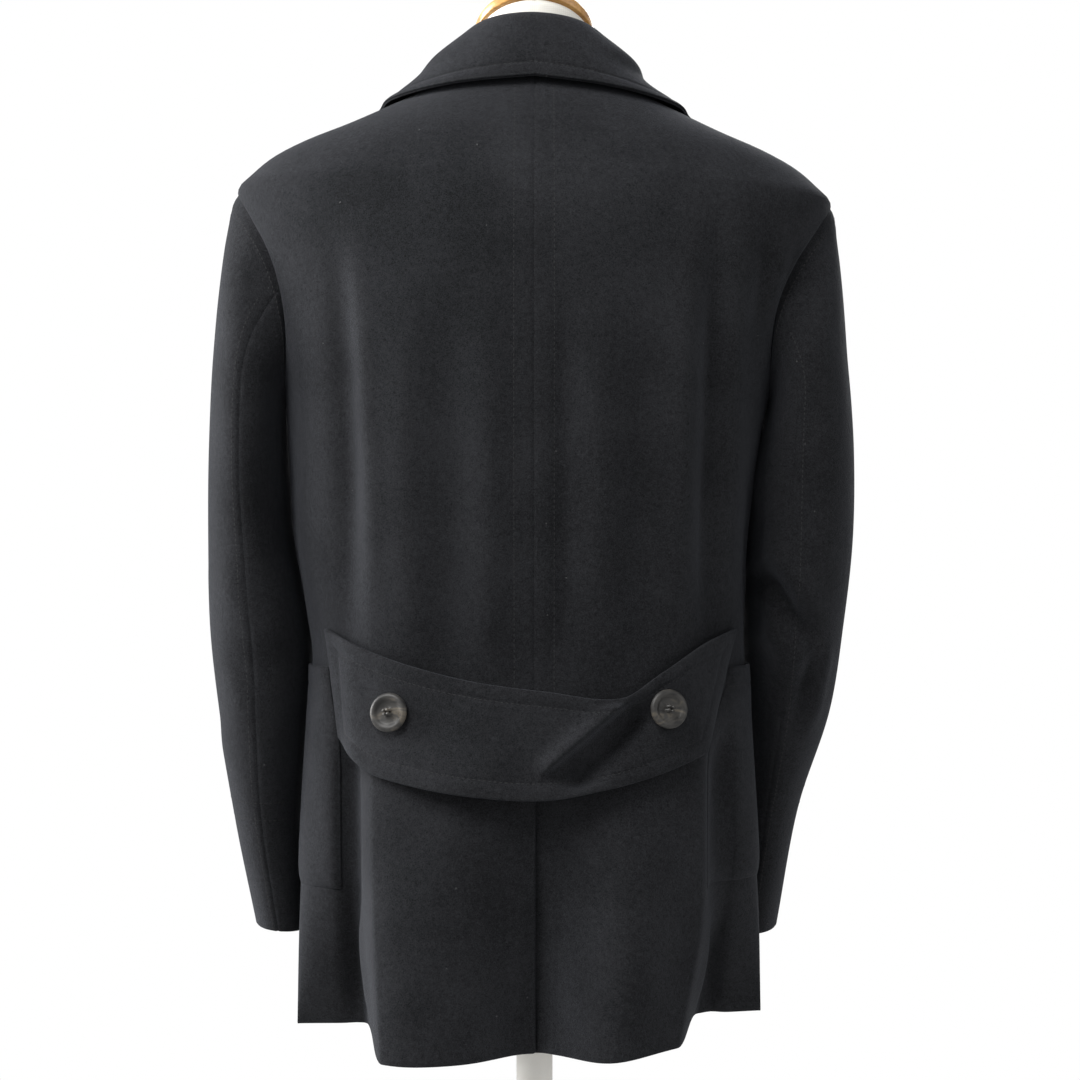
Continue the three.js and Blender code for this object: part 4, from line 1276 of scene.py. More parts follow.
@dataclass
class HalfBelt:
    """The two-ply half belt, buttoned across the back and sagging off it in the middle."""

    edges: Table = Table("at top_x top_z low_x low_z off", [
        (0.0, 166, 958, 155, 872, -0.3), (0.12, 132, 944, 130, 850, 5), (0.25, 95, 931, 100, 840, 9),
        (0.4, 45, 918, 50, 831, 13), (0.55, -8, 910, -8, 828, 15), (0.7, -64, 904, -58, 837, 13),
        (0.8, -96, 924, -90, 846, 9), (0.9, -132, 948, -113, 854, 5), (1.0, -160, 958, -134, 862, 0.6),
    ])
    stitch_in: float = 12.0
    stitch_rows: tuple[int, ...] = (8, 48)
    stitch_ends: int = 7
    wide: float = 86.0
    long: float = 335.0
    columns: int = 190
    rows: int = 56
    creases: tuple[Crease, ...] = creases(
        (-74, 907, -4, 849, 6, 9.0, 0.15, 0, 0.5), (-94, 900, -24, 836, 12, -12.0, 0.2, 0, 0.25),
        (-120, 935, -96, 865, 11, 1.8), (60, 905, 20, 845, 18, 1.6), (140, 930, 112, 868, 10, -1.2),
    )
    cut: Cut = Cut(0.38, 0.084, 0.97, "hung")

    def surface(self, along: Array, down: Array) -> tuple[Array, Array]:
        """Places on the belt.

        Args:
            along: shares of the way from its left end to its right one.
            down: shares of the way from its top to its foot.

        Returns:
            Outer points and directions out.
        """
        x = mix(self.edges.at("top_x", along), self.edges.at("low_x", along), down)
        z = mix(self.edges.at("top_z", along), self.edges.at("low_z", along), down)
        off = self.edges.at("off", along)
        fold = 1 - smooth(off, 0, 4)
        right = np.clip(-x / BODY.across, 0, 1)
        height = z - BODY.right_hem_lift * right * (1 - smooth(z, HEM, WAIST))
        angle = BODY.angle_at(x, height)
        out = BODY.out(angle, height, fold)
        lift = off + TWO_PLY + LAYER_GAP
        return BODY.points(angle, height, fold) + out * lift[..., None], out

    def near(self, x: float, z: float) -> tuple[Array, Array]:
        """The belt's place that shows at an x and a height, with its direction out.

        Args:
            x: the place across.
            z: the height.

        Returns:
            The place and its direction out.
        """
        along, down = np.meshgrid(spread(0, 1, 100), spread(0, 1, 20))
        points, out = self.surface(along, down)
        best = np.argmin(np.hypot(points[..., 0] - x, points[..., 2] - z))
        return points.reshape(-1, 3)[best], out.reshape(-1, 3)[best]

    def build(self) -> None:
        """Makes the belt and its topstitching."""
        along, down = np.meshgrid(spread(0, 1, self.columns), spread(0, 1, self.rows))
        points, out = self.surface(along, down)
        edges = self.wide * down, self.wide * (1 - down), np.minimum(along, 1 - along) * self.long
        away = np.minimum.reduce(edges)
        lift = -0.7 * bell(away - self.stitch_in, 1.4) + 0.7 * bell(away - 5, 5)
        for crease in self.creases:
            lift += crease.lift(points[..., 0], points[..., 2]) * smooth(away, 0, 10)
        outer = points + out * lift[..., None]
        piece = Cloth.piece("cloth_back_belt", ("back_belt",), outer, out, TWO_PLY, TWO_PLY_EDGE)
        lies_on, buttons = ([f"{kind}_{word}" for word in ("left", "right")]
                            for kind in ("cloth_back", "horn_back_button"))
        self.cut.declare(piece, lies_on, buttons)
        sewn = slice(self.stitch_ends, -self.stitch_ends)
        for row in self.stitch_rows:
            SEWING.add("belt", outer[row, sewn], out[row, sewn])


@dataclass
class Pocket:
    """A patch pocket, on the flank and round to the front, with a topstitched opening."""

    side: Side
    low_x: float
    high_x: float
    turn: float = 868.0
    fold_width: float = 30.0
    slack: float = 1.0
    end: float = 141.0
    low: float = 748.0
    high: float = 927.0
    hem: float = 15.0
    girth: float = 175.0
    air: float = 0.3
    edge_sink: float = 2.9
    edge_run: float = 8.0
    edge_reach: float = 99.0
    slack_width: float = 16.0
    least_flank: float = 0.12
    rows: int = 60
    flank_columns: int = 31
    round_columns: int = 80
    cut: Cut = Cut(0.222, 0.178, 0.97)

    def build(self) -> None:
        """Makes the pocket and its stitching."""
        z = spread(self.low, self.high, self.rows)[:, None]
        side = self.side.value
        start = BODY.angle_at(side * mix(self.low_x, self.high_x, smooth(z, self.turn, self.high)), z) * side
        corner = BODY.corner(z, side) + self.fold_width
        flank = np.maximum(BODY.angle_at(side * corner, z) * side, start + self.least_flank)
        end = math.radians(self.end)
        beside = mix(start, flank, spread(0, 1, self.flank_columns)[None, :-1])
        angle = np.concatenate((beside, mix(flank, end, spread(0, 1, self.round_columns)[None])), 1)
        angle, z = np.broadcast_arrays(angle, z)
        points, out = BODY.points(angle * side, z), BODY.out(angle * side, z)
        lift = np.full(z.shape, CLOTH + LAYER_GAP + self.air)
        if self.side is Side.LEFT:
            lift = lift + FRONTS.overlap(np.abs(points[..., 0]), z) * (angle > math.pi / 2)
        lift = lift + RELIEF.lift(points, out)
        lift = lift + self.slack * bell(np.abs(points[..., 0]) - corner, self.slack_width)
        from_side = np.minimum(angle - start, end - angle) * self.girth
        away = np.minimum(np.minimum(from_side, z - self.low), self.edge_reach)
        lift = lift - 0.5 * bell(self.high - z - self.hem, 1.4)
        lift = lift - self.edge_sink * np.exp(-away / self.edge_run)
        outer = points + out * lift[..., None]
        name = f"pocket_{self.side.word}"
        piece = Cloth.piece(f"cloth_{name}", (name,), outer, out, CLOTH)
        self.cut.declare(piece, [f"cloth_front_{self.side.word}", f"cloth_back_{self.side.word}"])
        SEWING.add("pockets", outer[-6, 3:-3], out[-6, 3:-3])
        SEWING.add("pockets", outer[:, -3], out[:, -3])


# Where each pocket's back edge is below its turn and at its top
POCKET_BACK = {Side.LEFT: (158.0, 166.0), Side.RIGHT: (141.0, 157.0)}


def rounded_profile(corners: list[tuple[float, float, float]], steps: int = 5) -> list[tuple[float, float]]:
    """A turned profile with its corners rounded.

    Args:
        corners: radius, height and rounding of each corner, from the axis below to the axis above.
        steps: how many pieces an arc has.

    Returns:
        Radius and height pairs.
    """
    result: list[tuple[float, float]] = []
    for i, (r, h, bend) in enumerate(corners):
        here = Vector((r, h))
        if bend <= 0 or i in (0, len(corners) - 1):
            result.append((r, h))
            continue
        before = (Vector(corners[i - 1][:2]) - here).normalized() * bend + here
        after = (Vector(corners[i + 1][:2]) - here).normalized() * bend + here
        for k in range(steps + 1):
            t = k / steps
            spot = before * (1 - t) ** 2 + here * 2 * t * (1 - t) + after * t**2
            result.append((spot.x, spot.y))
    return result


def loft(name: str, rings: Array, material: Material, ends: Array | None = None) -> Object:
    """A closed smooth solid from rings of points, with a fan over each end.

    Args:
        name: the piece's name.
        rings: the rings, from the lowest to the highest.
        material: its finish.
        ends: the middles of the two fans, where they aren't those of their rings.

    Returns:
        The new object.
    """
    count, sides, _ = rings.shape
    tips = rings[[0, -1]].mean(1) if ends is None else ends
    corners = np.concatenate((rings.reshape(-1, 3), tips))
    number = np.arange(count * sides).reshape(count, sides)
    after = np.roll(number, -1, 1)
    foot, tip = np.full(sides, len(corners) - 2), np.full(sides, len(corners) - 1)
    below = np.stack((after[0], number[0], foot, foot), -1)
    above = np.stack((number[-1], after[-1], tip, tip), -1)
    faces = np.concatenate((round_quads(number), below, above))
    return face_outward(make_mesh(name, corners, faces, material))


def turned(name: str, profile: list[tuple[float, float]], sides: int, material: Material) -> Object:
    """A turned solid round the Z axis.

    Args:
        name: the piece's name.
        profile: radius and height pairs in millimetres that start and end on the axis.
        sides: how many sides it has.
        material: its finish.

    Returns:
        The new object.
    """
    radius, height = np.array(profile[1:-1]).T[..., None]
    angle = 2 * math.pi * np.arange(sides) / sides
    rings = xyz(radius * np.cos(angle), radius * np.sin(angle), height)
    return loft(name, rings, material, np.array([(0, 0, profile[0][1]), (0, 0, profile[-1][1])]))


@dataclass
class HornButton:
    """A round horn button with a wide raised rim, four holes and its thread."""

    radius: float = 15.4
    rim: float = 5.4
    dish: float = 3.6
    edge: float = 3.2
    hole: float = 1.15
    hole_off: float = 2.15
    drill_middle: float = 2.0
    drill_depth: float = 14.0
    drill_sides: int = 20
    shank: float = 1.6
    strand: float = 0.3
    strand_off: float = 0.32
    sides: int = 72
    horn: Material | None = None
    thread: Material | None = None

    def blank(self, name: str) -> Object:
        """The turned button, its back on the floor plane.

        Args:
            name: the piece's name.

        Returns:
            The new object.
        """
        r, rim, dish = self.radius, self.rim, self.dish
        profile = rounded_profile([
            (0, 0, 0), (r - 2.5, 0, 1.0), (r, 1.6, 1.2), (r - 0.1, self.edge + 0.4, 1.0), (r - 1.9, rim, 1.3),
            (r - 4.4, rim - 0.3, 1.2), (r - 6.4, dish, 1.1), (5.6, dish - 0.35, 0.8), (0, dish - 0.4, 0),
        ])
        return turned(name, profile, self.sides, self.horn)

    def drilled(self, name: str) -> Object:
        """The button with its four holes cut through.

        Args:
            name: the piece's name.

        Returns:
            The new object.
        """
        button = self.blank(name)
        cutters = []
        off, middle, depth = self.hole_off * MM, self.drill_middle * MM, self.drill_depth * MM
        for k in range(4):
            turn = math.pi / 4 + k * math.pi / 2
            spot = (off * math.cos(turn), off * math.sin(turn), middle)
            bpy.ops.mesh.primitive_cylinder_add(
                vertices=self.drill_sides, radius=self.hole * MM, depth=depth, location=spot)
            cutters.append(bpy.context.object)
        for cutter in cutters:
            cut = button.modifiers.new("hole", "BOOLEAN")
            cut.operation, cut.object, cut.solver = "DIFFERENCE", cutter, "EXACT"
        bake_modifiers(button)
        for cutter in cutters:
            bpy.data.objects.remove(cutter)
        return button

    def build(self, node: str, seat: Array, out: Array, turn: float) -> None:
        """Makes one button on the cloth with its cross of thread.

        Args:
            node: the solid that it stands for.
            seat: the place on the cloth under it.
            out: the direction out of the cloth there.
            turn: how far it is turned in its own plane, in degrees.
        """
        button = self.drilled(f"horn_{node}")
        thread = self.threads(f"thread_{node}")
        facing = Vector(out).to_track_quat("Z", "Y")
        place = facing.to_matrix().to_4x4() @ Matrix.Rotation(math.radians(turn), 4, "Z")
        place.translation = Vector(seat * MM)
        for thing in (button, thread):
            thing.data.transform(place)
        dress(button, (node,))
        dress(thread, ())

    def threads(self, name: str) -> Object:
        """Strands between the holes and the shank of thread down into the cloth.

        Args:
            name: the mesh's name.

        Returns:
            The new object.
        """
        off = self.hole_off * math.cos(math.pi / 4)
        over = ((-1, -2.0), (-0.7, 0.1), (0, 0.35), (0.7, 0.1), (1, -2.0))
        paths = [[(x + shift, off * y, self.dish + rise) for y, rise in over]
                 for x in (-off, off) for shift in (-self.strand_off, self.strand_off)]
        down = ((1, self.dish - 1.6), (0.7, -0.8), (0.6, -self.shank - 0.6))
        paths += [[(x * part, y * part, z) for part, z in down] for x in (-off, off) for y in (-off, off)]
        return tubes(name, paths, self.strand, self.thread)


def bake_modifiers(thing: Object) -> None:
    """Applies every modifier to a mesh object.

    Args:
        thing: the object.
    """
    graph = bpy.context.evaluated_depsgraph_get()
    mesh = bpy.data.meshes.new_from_object(thing.evaluated_get(graph))
    old = thing.data
    thing.modifiers.clear()
    thing.data = mesh
    bpy.data.meshes.remove(old)
    mesh.polygons.foreach_set("use_smooth", np.ones(len(mesh.polygons), dtype=bool))


def tubes(
    name: str, paths: list[list[tuple[float, float, float]]], radius: float, material: Material,
) -> Object:
    """Closed round strands along short paths, as one mesh.

    Args:
        name: the mesh's name.
        paths: the points that each strand passes through.
        radius: the strands' radius.
        material: their finish.

    Returns:
        The new object.
    """
    corners, faces, first, sides = [], [], 0, 8
    turn = 2 * math.pi * np.arange(sides) / sides
    for path in paths:
        line = curve_rows(np.array(path)[:, None], 4 * len(path))[:, 0]
        across = unit(np.cross(unit(np.gradient(line, axis=0)), ASKEW))
        beside = np.cross(unit(np.gradient(line, axis=0)), across)
        corners.append((line[:, None] + radius * (
            across[:, None] * np.cos(turn)[None, :, None] + beside[:, None] * np.sin(turn)[None, :, None]
        )).reshape(-1, 3))
        number = np.arange(len(line) * sides).reshape(-1, sides) + first
        first += len(corners[-1])
        faces.append(round_quads(number))
        faces += [ring[[[0, 1, 2, 3], [3, 4, 5, 0], [5, 6, 7, 0]]] for ring in (number[0], number[-1])]
    return face_outward(make_mesh(name, np.concatenate(corners), np.concatenate(faces), material))


@dataclass
class DressForm:
    """The limbless form inside the coat, with its neck and its wooden cap."""

    foot: float = 802.0
    waist_rows: int = 60
    top: float = 1300.0
    under_shoulder: float = 1314.0
    shoulder_rows: tuple[float, ...] = (1328, 1336, 1343, 1350, 1356, 1363, 1369, 1377, 1384, 1390, 1395)
    shoulder_half: float = 205.0
    seam_places: tuple[float, ...] = (0, math.pi, 2 * math.pi, 1.0, 5.28, 2.1, 4.18)
    board_thick: float = 12.0
    sections: Table = Table("z half back front", [
        (802, 156, 96, 96), (870, 158, 97, 98), (935, 142, 86, 90), (1000, 132, 80, 88),
        (1090, 146, 92, 102), (1180, 164, 106, 112), (1250, 184, 106, 106), (1300, 198, 100, 98),
    ])
    roundness: float = 2.2
    shoulder_tuck: float = 9.0
    neck_radius: float = 48.0
    neck_foot: float = 1401.5
    neck_back: float = 32.0
    neck_height: float = 1459.5
    slant: float = 0.53
    cap: float = 8.0
    lip: float = 2.4
    sides: int = 120
    seam: float = 0.5

    def ring(self, z: float, half: float, back: float, front: float, inset: float = 0) -> Array:
        """One ring of the form, with its pressed seams at the middles and the sides.

        Args:
            z: its height.
            half: its half width.
            back: its depth behind the middle.
            front: its depth before it.
            inset: how far it is drawn in.

        Returns:
            Its points.
        """
        angle = 2 * math.pi * np.arange(self.sides) / self.sides
        sine, cosine = np.sin(angle), np.cos(angle)
        reach = squareness(sine, cosine, self.roundness)
        depth = np.where(cosine > 0, back, front) - inset
        seams = sum(bell((angle - place) * half, 1.6) for place in self.seam_places)
        width = (half - inset - self.seam * seams) * sine * reach
        return xyz(width, (depth - self.seam * seams) * cosine * reach, np.full(self.sides, z))

    def rings(self) -> Array:
        """All rings of the torso, closed to the neck's foot.

        Returns:
            The rings, from the lowest to the highest.
        """
        rows = []
        for z in np.append(spread(self.foot, self.top, self.waist_rows), self.under_shoulder):
            size = [float(self.sections.at(name, z)) for name in ("half", "back", "front")]
            rows.append(self.ring(z, *size))
        angle = np.array([-math.pi / 2])
        for z in self.shoulder_rows:
            seat = BODY.points(angle, z)[0] - BODY.out(angle, z)[0] * (CLOTH + SEAM_GAP + 0.15)
            depth = float(BODY.sections.at("back", z)) - self.shoulder_tuck - CLOTH
            half = float(mix(self.shoulder_half, -seat[0], smooth(z, 1326, 1358)))
            rows.append(self.ring(float(seat[2]), half, depth, depth))
        rows.append(self.ring(self.neck_foot - SEAM_GAP, *[self.neck_radius] * 3))
        return np.array(rows)

    def neck_top(self, y: Array, lift: float) -> Array:
        """Height of the neck's slanted top."""
        return self.neck_height + self.slant * (y - self.neck_back) + lift

    def neck_ring(self, radius: float, share: float, lift: float = 0) -> Array:
        """A ring of the neck.

        Args:
            radius: its radius.
            share: 0 at the level foot and 1 at the slanted top.
            lift: how far it is above the top.

        Returns:
            Its points.
        """
        angle = 2 * math.pi * np.arange(self.sides) / self.sides
        seam = self.seam * (bell(angle * radius, 1.3) + bell((2 * math.pi - angle) * radius, 1.3))
        y = (radius - seam) * np.cos(angle)
        return xyz((radius - seam) * np.sin(angle), y, mix(self.neck_foot, self.neck_top(y, lift), share))

    def build(self, cotton: Material, wood: Material) -> None:
        """Makes the torso, the neck and the cap.

        Args:
            cotton: the cover's finish.
            wood: the cap's finish.
        """
        dress(loft("form_torso_cover", self.rings(), cotton), ("form_torso",))
        places = ((0, 0.8), (0.015, 0), *((k / 12, 0) for k in range(1, 12)), (0.985, 0), (1, 0.8))
        neck = [self.neck_ring(self.neck_radius - edge, share) for share, edge in places]
        dress(loft("form_neck_cover", np.array(neck), cotton), ("form_neck",))
        rim = self.neck_radius + self.lip
        profile = rounded_profile([
            (0, SEAM_GAP, 0), (rim - 0.2, SEAM_GAP, 1.4), (rim, self.cap, 2.6),
            (rim * 0.6, self.cap + 2.5, 3), (0, self.cap + 3, 0),
        ], 6)
        rings = np.array([self.neck_ring(r, 1, h) for r, h in profile[1:-1]])
        dress(loft("form_neck_cap_wood", rings, wood), ("form_neck_cap",))

    def board(self, wood: Material) -> float:
        """Makes the board under the form.

        Args:
            wood: its finish.

        Returns:
            The height of its underside.
        """
        top = self.foot - SEAM_GAP
        low = top - self.board_thick
        size = [float(self.sections.at(name, self.foot)) for name in ("half", "back", "front")]
        rows = [self.ring(z, *size, inset) for z, inset in (
            (low, 6.2), (low + 0.5, 4.6), (low + 1.6, 3.4), (low + 3, 3),
            (top - 1.5, 3), (top - 0.4, 3.4), (top, 4.2),
        )]
        dress(loft("form_board_wood", np.array(rows), wood), ("form_board",))
        return low


@dataclass
class Stand:
    """The flange, the pole and the round base."""

    flange_radius: float = 42.0
    flange_thick: float = 9.0
    pole_radius: float = 15.0
    base_radius: float = 190.0
    base_thick: float = 15.0
    hub: float = 32.0
    hub_height: float = 34.0

    def build(self, board_low: float, paint: Material) -> None:
        """Makes the stand under the board.

        Args:
            board_low: the height of the board's underside.
            paint: its finish.
        """
        top = board_low - SEAM_GAP
        low = top - self.flange_thick
        r = self.flange_radius
        flange = rounded_profile([
            (0, low, 0), (r - 1, low, 1), (r, low + 2, 1.6), (r, top, 0.6), (0, top, 0),
        ])
        dress(turned("stand_flange_plate", flange, 80, paint), ("stand_flange",))
        foot = self.base_thick + self.hub_height + SEAM_GAP
        tip = low - SEAM_GAP
        pole = [(0, foot), *((self.pole_radius, h) for h in spread(foot, tip, 12)), (0, tip)]
        dress(turned("stand_pole_tube", pole, 64, paint), ("stand_pole",))
        wide, thick, hub = self.base_radius, self.base_thick, self.hub
        base = rounded_profile([
            (0, 0, 0), (wide - 2, 0, 0.6), (wide, 2, 1.2), (wide, thick - 4.6, 2.6),
            (wide - 6, thick - 0.9, 3), (wide - 16, thick, 3), (hub + 4, thick + 2, 4),
            (hub - 1, thick + 4, 3),
            (hub - 8, thick + self.hub_height, 2.4), (0, thick + self.hub_height, 0),
        ], 6)
        dress(turned("stand_base_plate", base, 128, paint), ("stand_base",))


class NodeNet:
    """Adds nodes to a node tree and joins them."""

    def __init__(self, tree: NodeTree) -> None:
        """Keeps the tree."""
        self.tree = tree

    def add(self, kind: str, **values: object) -> Node:
        """Adds a node.

        Args:
            kind: the node's type.
            values: its settings, and its input values by name.

        Returns:
            The node.
        """
        node = self.tree.nodes.new(kind)
        for key, value in values.items():
            if hasattr(node, key):
                setattr(node, key, value)
            else:
                node.inputs[key.replace("_", " ")].default_value = value
        return node

    def join(self, start: NodeSocket, end: NodeSocket) -> None:
        """Joins an output to an input."""
        self.tree.links.new(start, end)

    def ramp(self, source: NodeSocket, stops: list[tuple[float, Colour]]) -> NodeSocket:
        """A colour ramp on a value.

        Args:
            source: the value.
            stops: places on the ramp and their colours.

        Returns:
            The ramp's colour.
        """
        node = self.add("ShaderNodeValToRGB")
        elements = node.color_ramp.elements
        for k, (place, colour) in enumerate(stops):
            element = elements[k] if k < 2 else elements.new(place)
            element.position = place
            element.color = (*colour, 1)
        self.join(source, node.inputs["Fac"])
        return node.outputs[0]

    def noise(self, place: NodeSocket, **values: float) -> Node:
        """A noise texture at a place.

        Args:
            place: the place's socket.
            values: its settings.

        Returns:
            The node.
        """
        node = self.add("ShaderNodeTexNoise", **values)
        self.join(place, node.inputs["Vector"])
        return node

    def math(self, operation: str, first: object, second: object) -> NodeSocket:
        """A Math node on two values or sockets.

        Args:
            operation: its operation.
            first: the first value or socket.
            second: the second one.

        Returns:
            The result's socket.
        """
        node = self.add("ShaderNodeMath", operation=operation)
        for socket, value in zip(node.inputs, (first, second)):
            if isinstance(value, NodeSocket):
                self.join(value, socket)
            else:
                socket.default_value = value
        return node.outputs[0]

    def weigh(self, *parts: tuple[NodeSocket, float]) -> NodeSocket:
        """A sum of values.

        Args:
            parts: each value's socket and the number that it is multiplied by.

        Returns:
            The sum's socket.
        """
        *terms, total = [self.math("MULTIPLY", socket, share) for socket, share in parts]
        for term in reversed(terms):
            total = self.math("ADD", term, total)
        return total


def new_group(name: str, inputs: dict[str, float], outputs: tuple[str, ...]) -> tuple[NodeTree, NodeNet]:
    """An empty shader node group.

    Args:
        name: its name.
        inputs: its number inputs with their usual values.
        outputs: its number outputs.

    Returns:
        The group and a net to fill it with.
    """
    group = bpy.data.node_groups.new(name, "ShaderNodeTree")
    for label, value in inputs.items():
        socket = group.interface.new_socket(label, in_out="INPUT", socket_type="NodeSocketFloat")
        socket.default_value = value
    for label in outputs:
        group.interface.new_socket(label, in_out="OUTPUT", socket_type="NodeSocketFloat")
    return group, NodeNet(group)


def fibre_nap() -> NodeTree:
    """Short tangled fibres: their height, a tone that varies over the cloth and a mask of pale lint.

    Returns:
        The node group.
    """
    sizes = {"Fibre Size": 0.0011, "Clump Size": 0.006, "Lint Share": 0.5}
    group, net = new_group("fibre_nap", sizes, ("Height", "Tone", "Lint"))
    given = net.add("NodeGroupInput")
    result = net.add("NodeGroupOutput")
    place = net.add("ShaderNodeTexCoord").outputs["Object"]
    warp = net.noise(place, Scale=220.0, Detail=2.0)
    shift = net.add("ShaderNodeVectorMath", operation="SCALE")
    net.join(warp.outputs["Color"], shift.inputs[0])
    shift.inputs["Scale"].default_value = 0.004
    moved = net.add("ShaderNodeVectorMath", operation="ADD")
    net.join(place, moved.inputs[0])
    net.join(shift.outputs[0], moved.inputs[1])
    fibre = net.noise(moved.outputs[0], Detail=4.0, Roughness=0.72, Distortion=0.6)
    net.join(net.math("DIVIDE", 1.0, given.outputs["Fibre Size"]), fibre.inputs["Scale"])
    clump = net.noise(place, Detail=5.0, Roughness=0.6, Distortion=0.3)
    net.join(net.math("DIVIDE", 1.0, given.outputs["Clump Size"]), clump.inputs["Scale"])
    cloud = net.noise(place, Scale=14.0, Detail=3.0)
    fibres, clumps, clouds = (noise.outputs["Fac"] for noise in (fibre, clump, cloud))
    net.join(net.weigh((fibres, 0.8), (clumps, 0.5)), result.inputs["Height"])
    net.join(net.weigh((fibres, 0.62), (clumps, 0.18), (clouds, 0.2)), result.inputs["Tone"])
    bits = net.add("ShaderNodeTexVoronoi", Scale=130.0, Randomness=1.0)
    net.join(moved.outputs[0], bits.inputs["Vector"])
    close = net.add("ShaderNodeMapRange", clamp=True, From_Min=0.11, From_Max=0.03)
    net.join(bits.outputs["Distance"], close.inputs["Value"])
    chosen = net.add("ShaderNodeSeparateColor")
    net.join(bits.outputs["Color"], chosen.inputs[0])
    rare = net.math("LESS_THAN", chosen.outputs[0], net.math("MULTIPLY", given.outputs["Lint Share"], 0.1))
    net.join(net.math("MULTIPLY", close.outputs[0], rare), result.inputs["Lint"])
    return group


def streaks() -> NodeTree:
    """Drawn-out bands of tone, as in horn or wood grain.

    Returns:
        The node group.
    """
    group, net = new_group("streaks", {"Across": 60.0, "Along": 8.0, "Twist": 1.2}, ("Tone", "Fine"))
    given = net.add("NodeGroupInput")
    result = net.add("NodeGroupOutput")
    place = net.add("ShaderNodeTexCoord").outputs["Object"]
    size = net.add("ShaderNodeCombineXYZ")
    net.join(given.outputs["Along"], size.inputs[0])
    net.join(given.outputs["Across"], size.inputs[1])
    net.join(given.outputs["Across"], size.inputs[2])
    scaled = net.add("ShaderNodeVectorMath", operation="MULTIPLY")
    net.join(place, scaled.inputs[0])
    net.join(size.outputs[0], scaled.inputs[1])
    broad = net.noise(scaled.outputs[0], Scale=1.0, Detail=3.0)
    net.join(given.outputs["Twist"], broad.inputs["Distortion"])
    fine = net.noise(scaled.outputs[0], Scale=7.0, Detail=6.0, Roughness=0.7)
    net.join(broad.outputs["Fac"], result.inputs["Tone"])
    net.join(fine.outputs["Fac"], result.inputs["Fine"])
    return group


@dataclass(frozen=True)
class Groups:
    """The effects that more than one finish uses."""

    nap: NodeTree
    streak: NodeTree


def new_finish(name: str) -> tuple[Material, NodeNet, Node]:
    """A material with only a Principled BSDF.

    Args:
        name: the material's name.

    Returns:
        The material, a net for its tree and the shader.
    """
    material = bpy.data.materials.new(name)
    material.use_nodes = True
    tree = material.node_tree
    shader = next(node for node in tree.nodes if node.type == "BSDF_PRINCIPLED")
    return material, NodeNet(tree), shader


def give(node: Node, **values: object) -> None:
    """Sets a node's inputs by name, with _ for a space."""
    for label, value in values.items():
        node.inputs[label.replace("_", " ")].default_value = value


def add_group(net: NodeNet, group: NodeTree, **values: float) -> Node:
    """Places a shared group in a material.

    Args:
        net: the material's net.
        group: the group.
        values: its input values by name.

    Returns:
        The group's node.
    """
    node = net.add("ShaderNodeGroup")
    node.node_tree = group
    give(node, **values)
    return node


def add_bump(
    net: NodeNet, height: NodeSocket, shader: Node, strength: float, reach: float,
) -> None:
    """Feeds a height to a shader's normal.

    Args:
        net: the material's net.
        height: the height.
        shader: the shader.
        strength: how much of the relief shows.
        reach: how high it is.
    """
    bump = net.add("ShaderNodeBump", Strength=strength, Distance=reach)
    net.join(height, bump.inputs["Height"])
    net.join(bump.outputs[0], shader.inputs["Normal"])


@dataclass(frozen=True)
class WoolFinish:
    """Felted wool with a short nap, near black with a cool tint and a little pale lint."""

    dark: Colour = (0.0052, 0.0054, 0.0060)
    light: Colour = (0.0215, 0.0222, 0.0245)
    lint: Colour = (0.09, 0.09, 0.09)
    roughness: float = 0.96
    sheen: float = 0.06
    sheen_roughness: float = 0.45
    sheen_tint: Colour = (0.8, 0.85, 1.0)
    specular: float = 0.12
    fibre: float = 0.0010
    clump: float = 0.0042
    lint_share: float = 0.3
    bump: float = 1.0
    reach: float = 0.0010

    def build(self, groups: Groups) -> Material:
        """Makes the material.

        Args:
            groups: the shared effects.

        Returns:
            The material.
        """
        material, net, shader = new_finish("felted_wool")
        nap = add_group(
            net, groups.nap, Fibre_Size=self.fibre, Clump_Size=self.clump, Lint_Share=self.lint_share)
        cloth = net.ramp(nap.outputs["Tone"], [(0.42, self.dark), (0.60, self.light)])
        speck = net.add("ShaderNodeMix", data_type="RGBA")
        net.join(nap.outputs["Lint"], speck.inputs[0])
        net.join(cloth, speck.inputs[6])
        speck.inputs[7].default_value = (*self.lint, 1)
        net.join(speck.outputs[2], shader.inputs["Base Color"])
        give(shader, Roughness=self.roughness, Specular_IOR_Level=self.specular, Sheen_Weight=self.sheen,
             Sheen_Roughness=self.sheen_roughness, Sheen_Tint=(*self.sheen_tint, 1))
        add_bump(net, nap.outputs["Height"], shader, self.bump, self.reach)
        return material


@dataclass(frozen=True)
class ThreadFinish:
    """Sewing thread, a twisted strand a little smoother than the cloth."""

    colour: Colour = (0.034, 0.034, 0.035)
    roughness: float = 0.9
    twist: float = 900.0
    shaded: float = 0.6
    specular: float = 0.12

    def build(self) -> Material:
        """Makes the material.

        Returns:
            The material.
        """
        material, net, shader = new_finish("sewing_thread")
        place = net.add("ShaderNodeTexCoord").outputs["Object"]
        ply = net.add("ShaderNodeTexWave", Scale=self.twist, Distortion=1.0)
        ply.bands_direction = "DIAGONAL"
        net.join(place, ply.inputs["Vector"])
        dark = tuple(self.shaded * c for c in self.colour)
        net.join(net.ramp(ply.outputs["Fac"], [(0.2, dark), (0.8, self.colour)]), shader.inputs["Base Color"])
        give(shader, Roughness=self.roughness, Specular_IOR_Level=self.specular)
        add_bump(net, ply.outputs["Fac"], shader, 0.5, 0.0002)
        return material


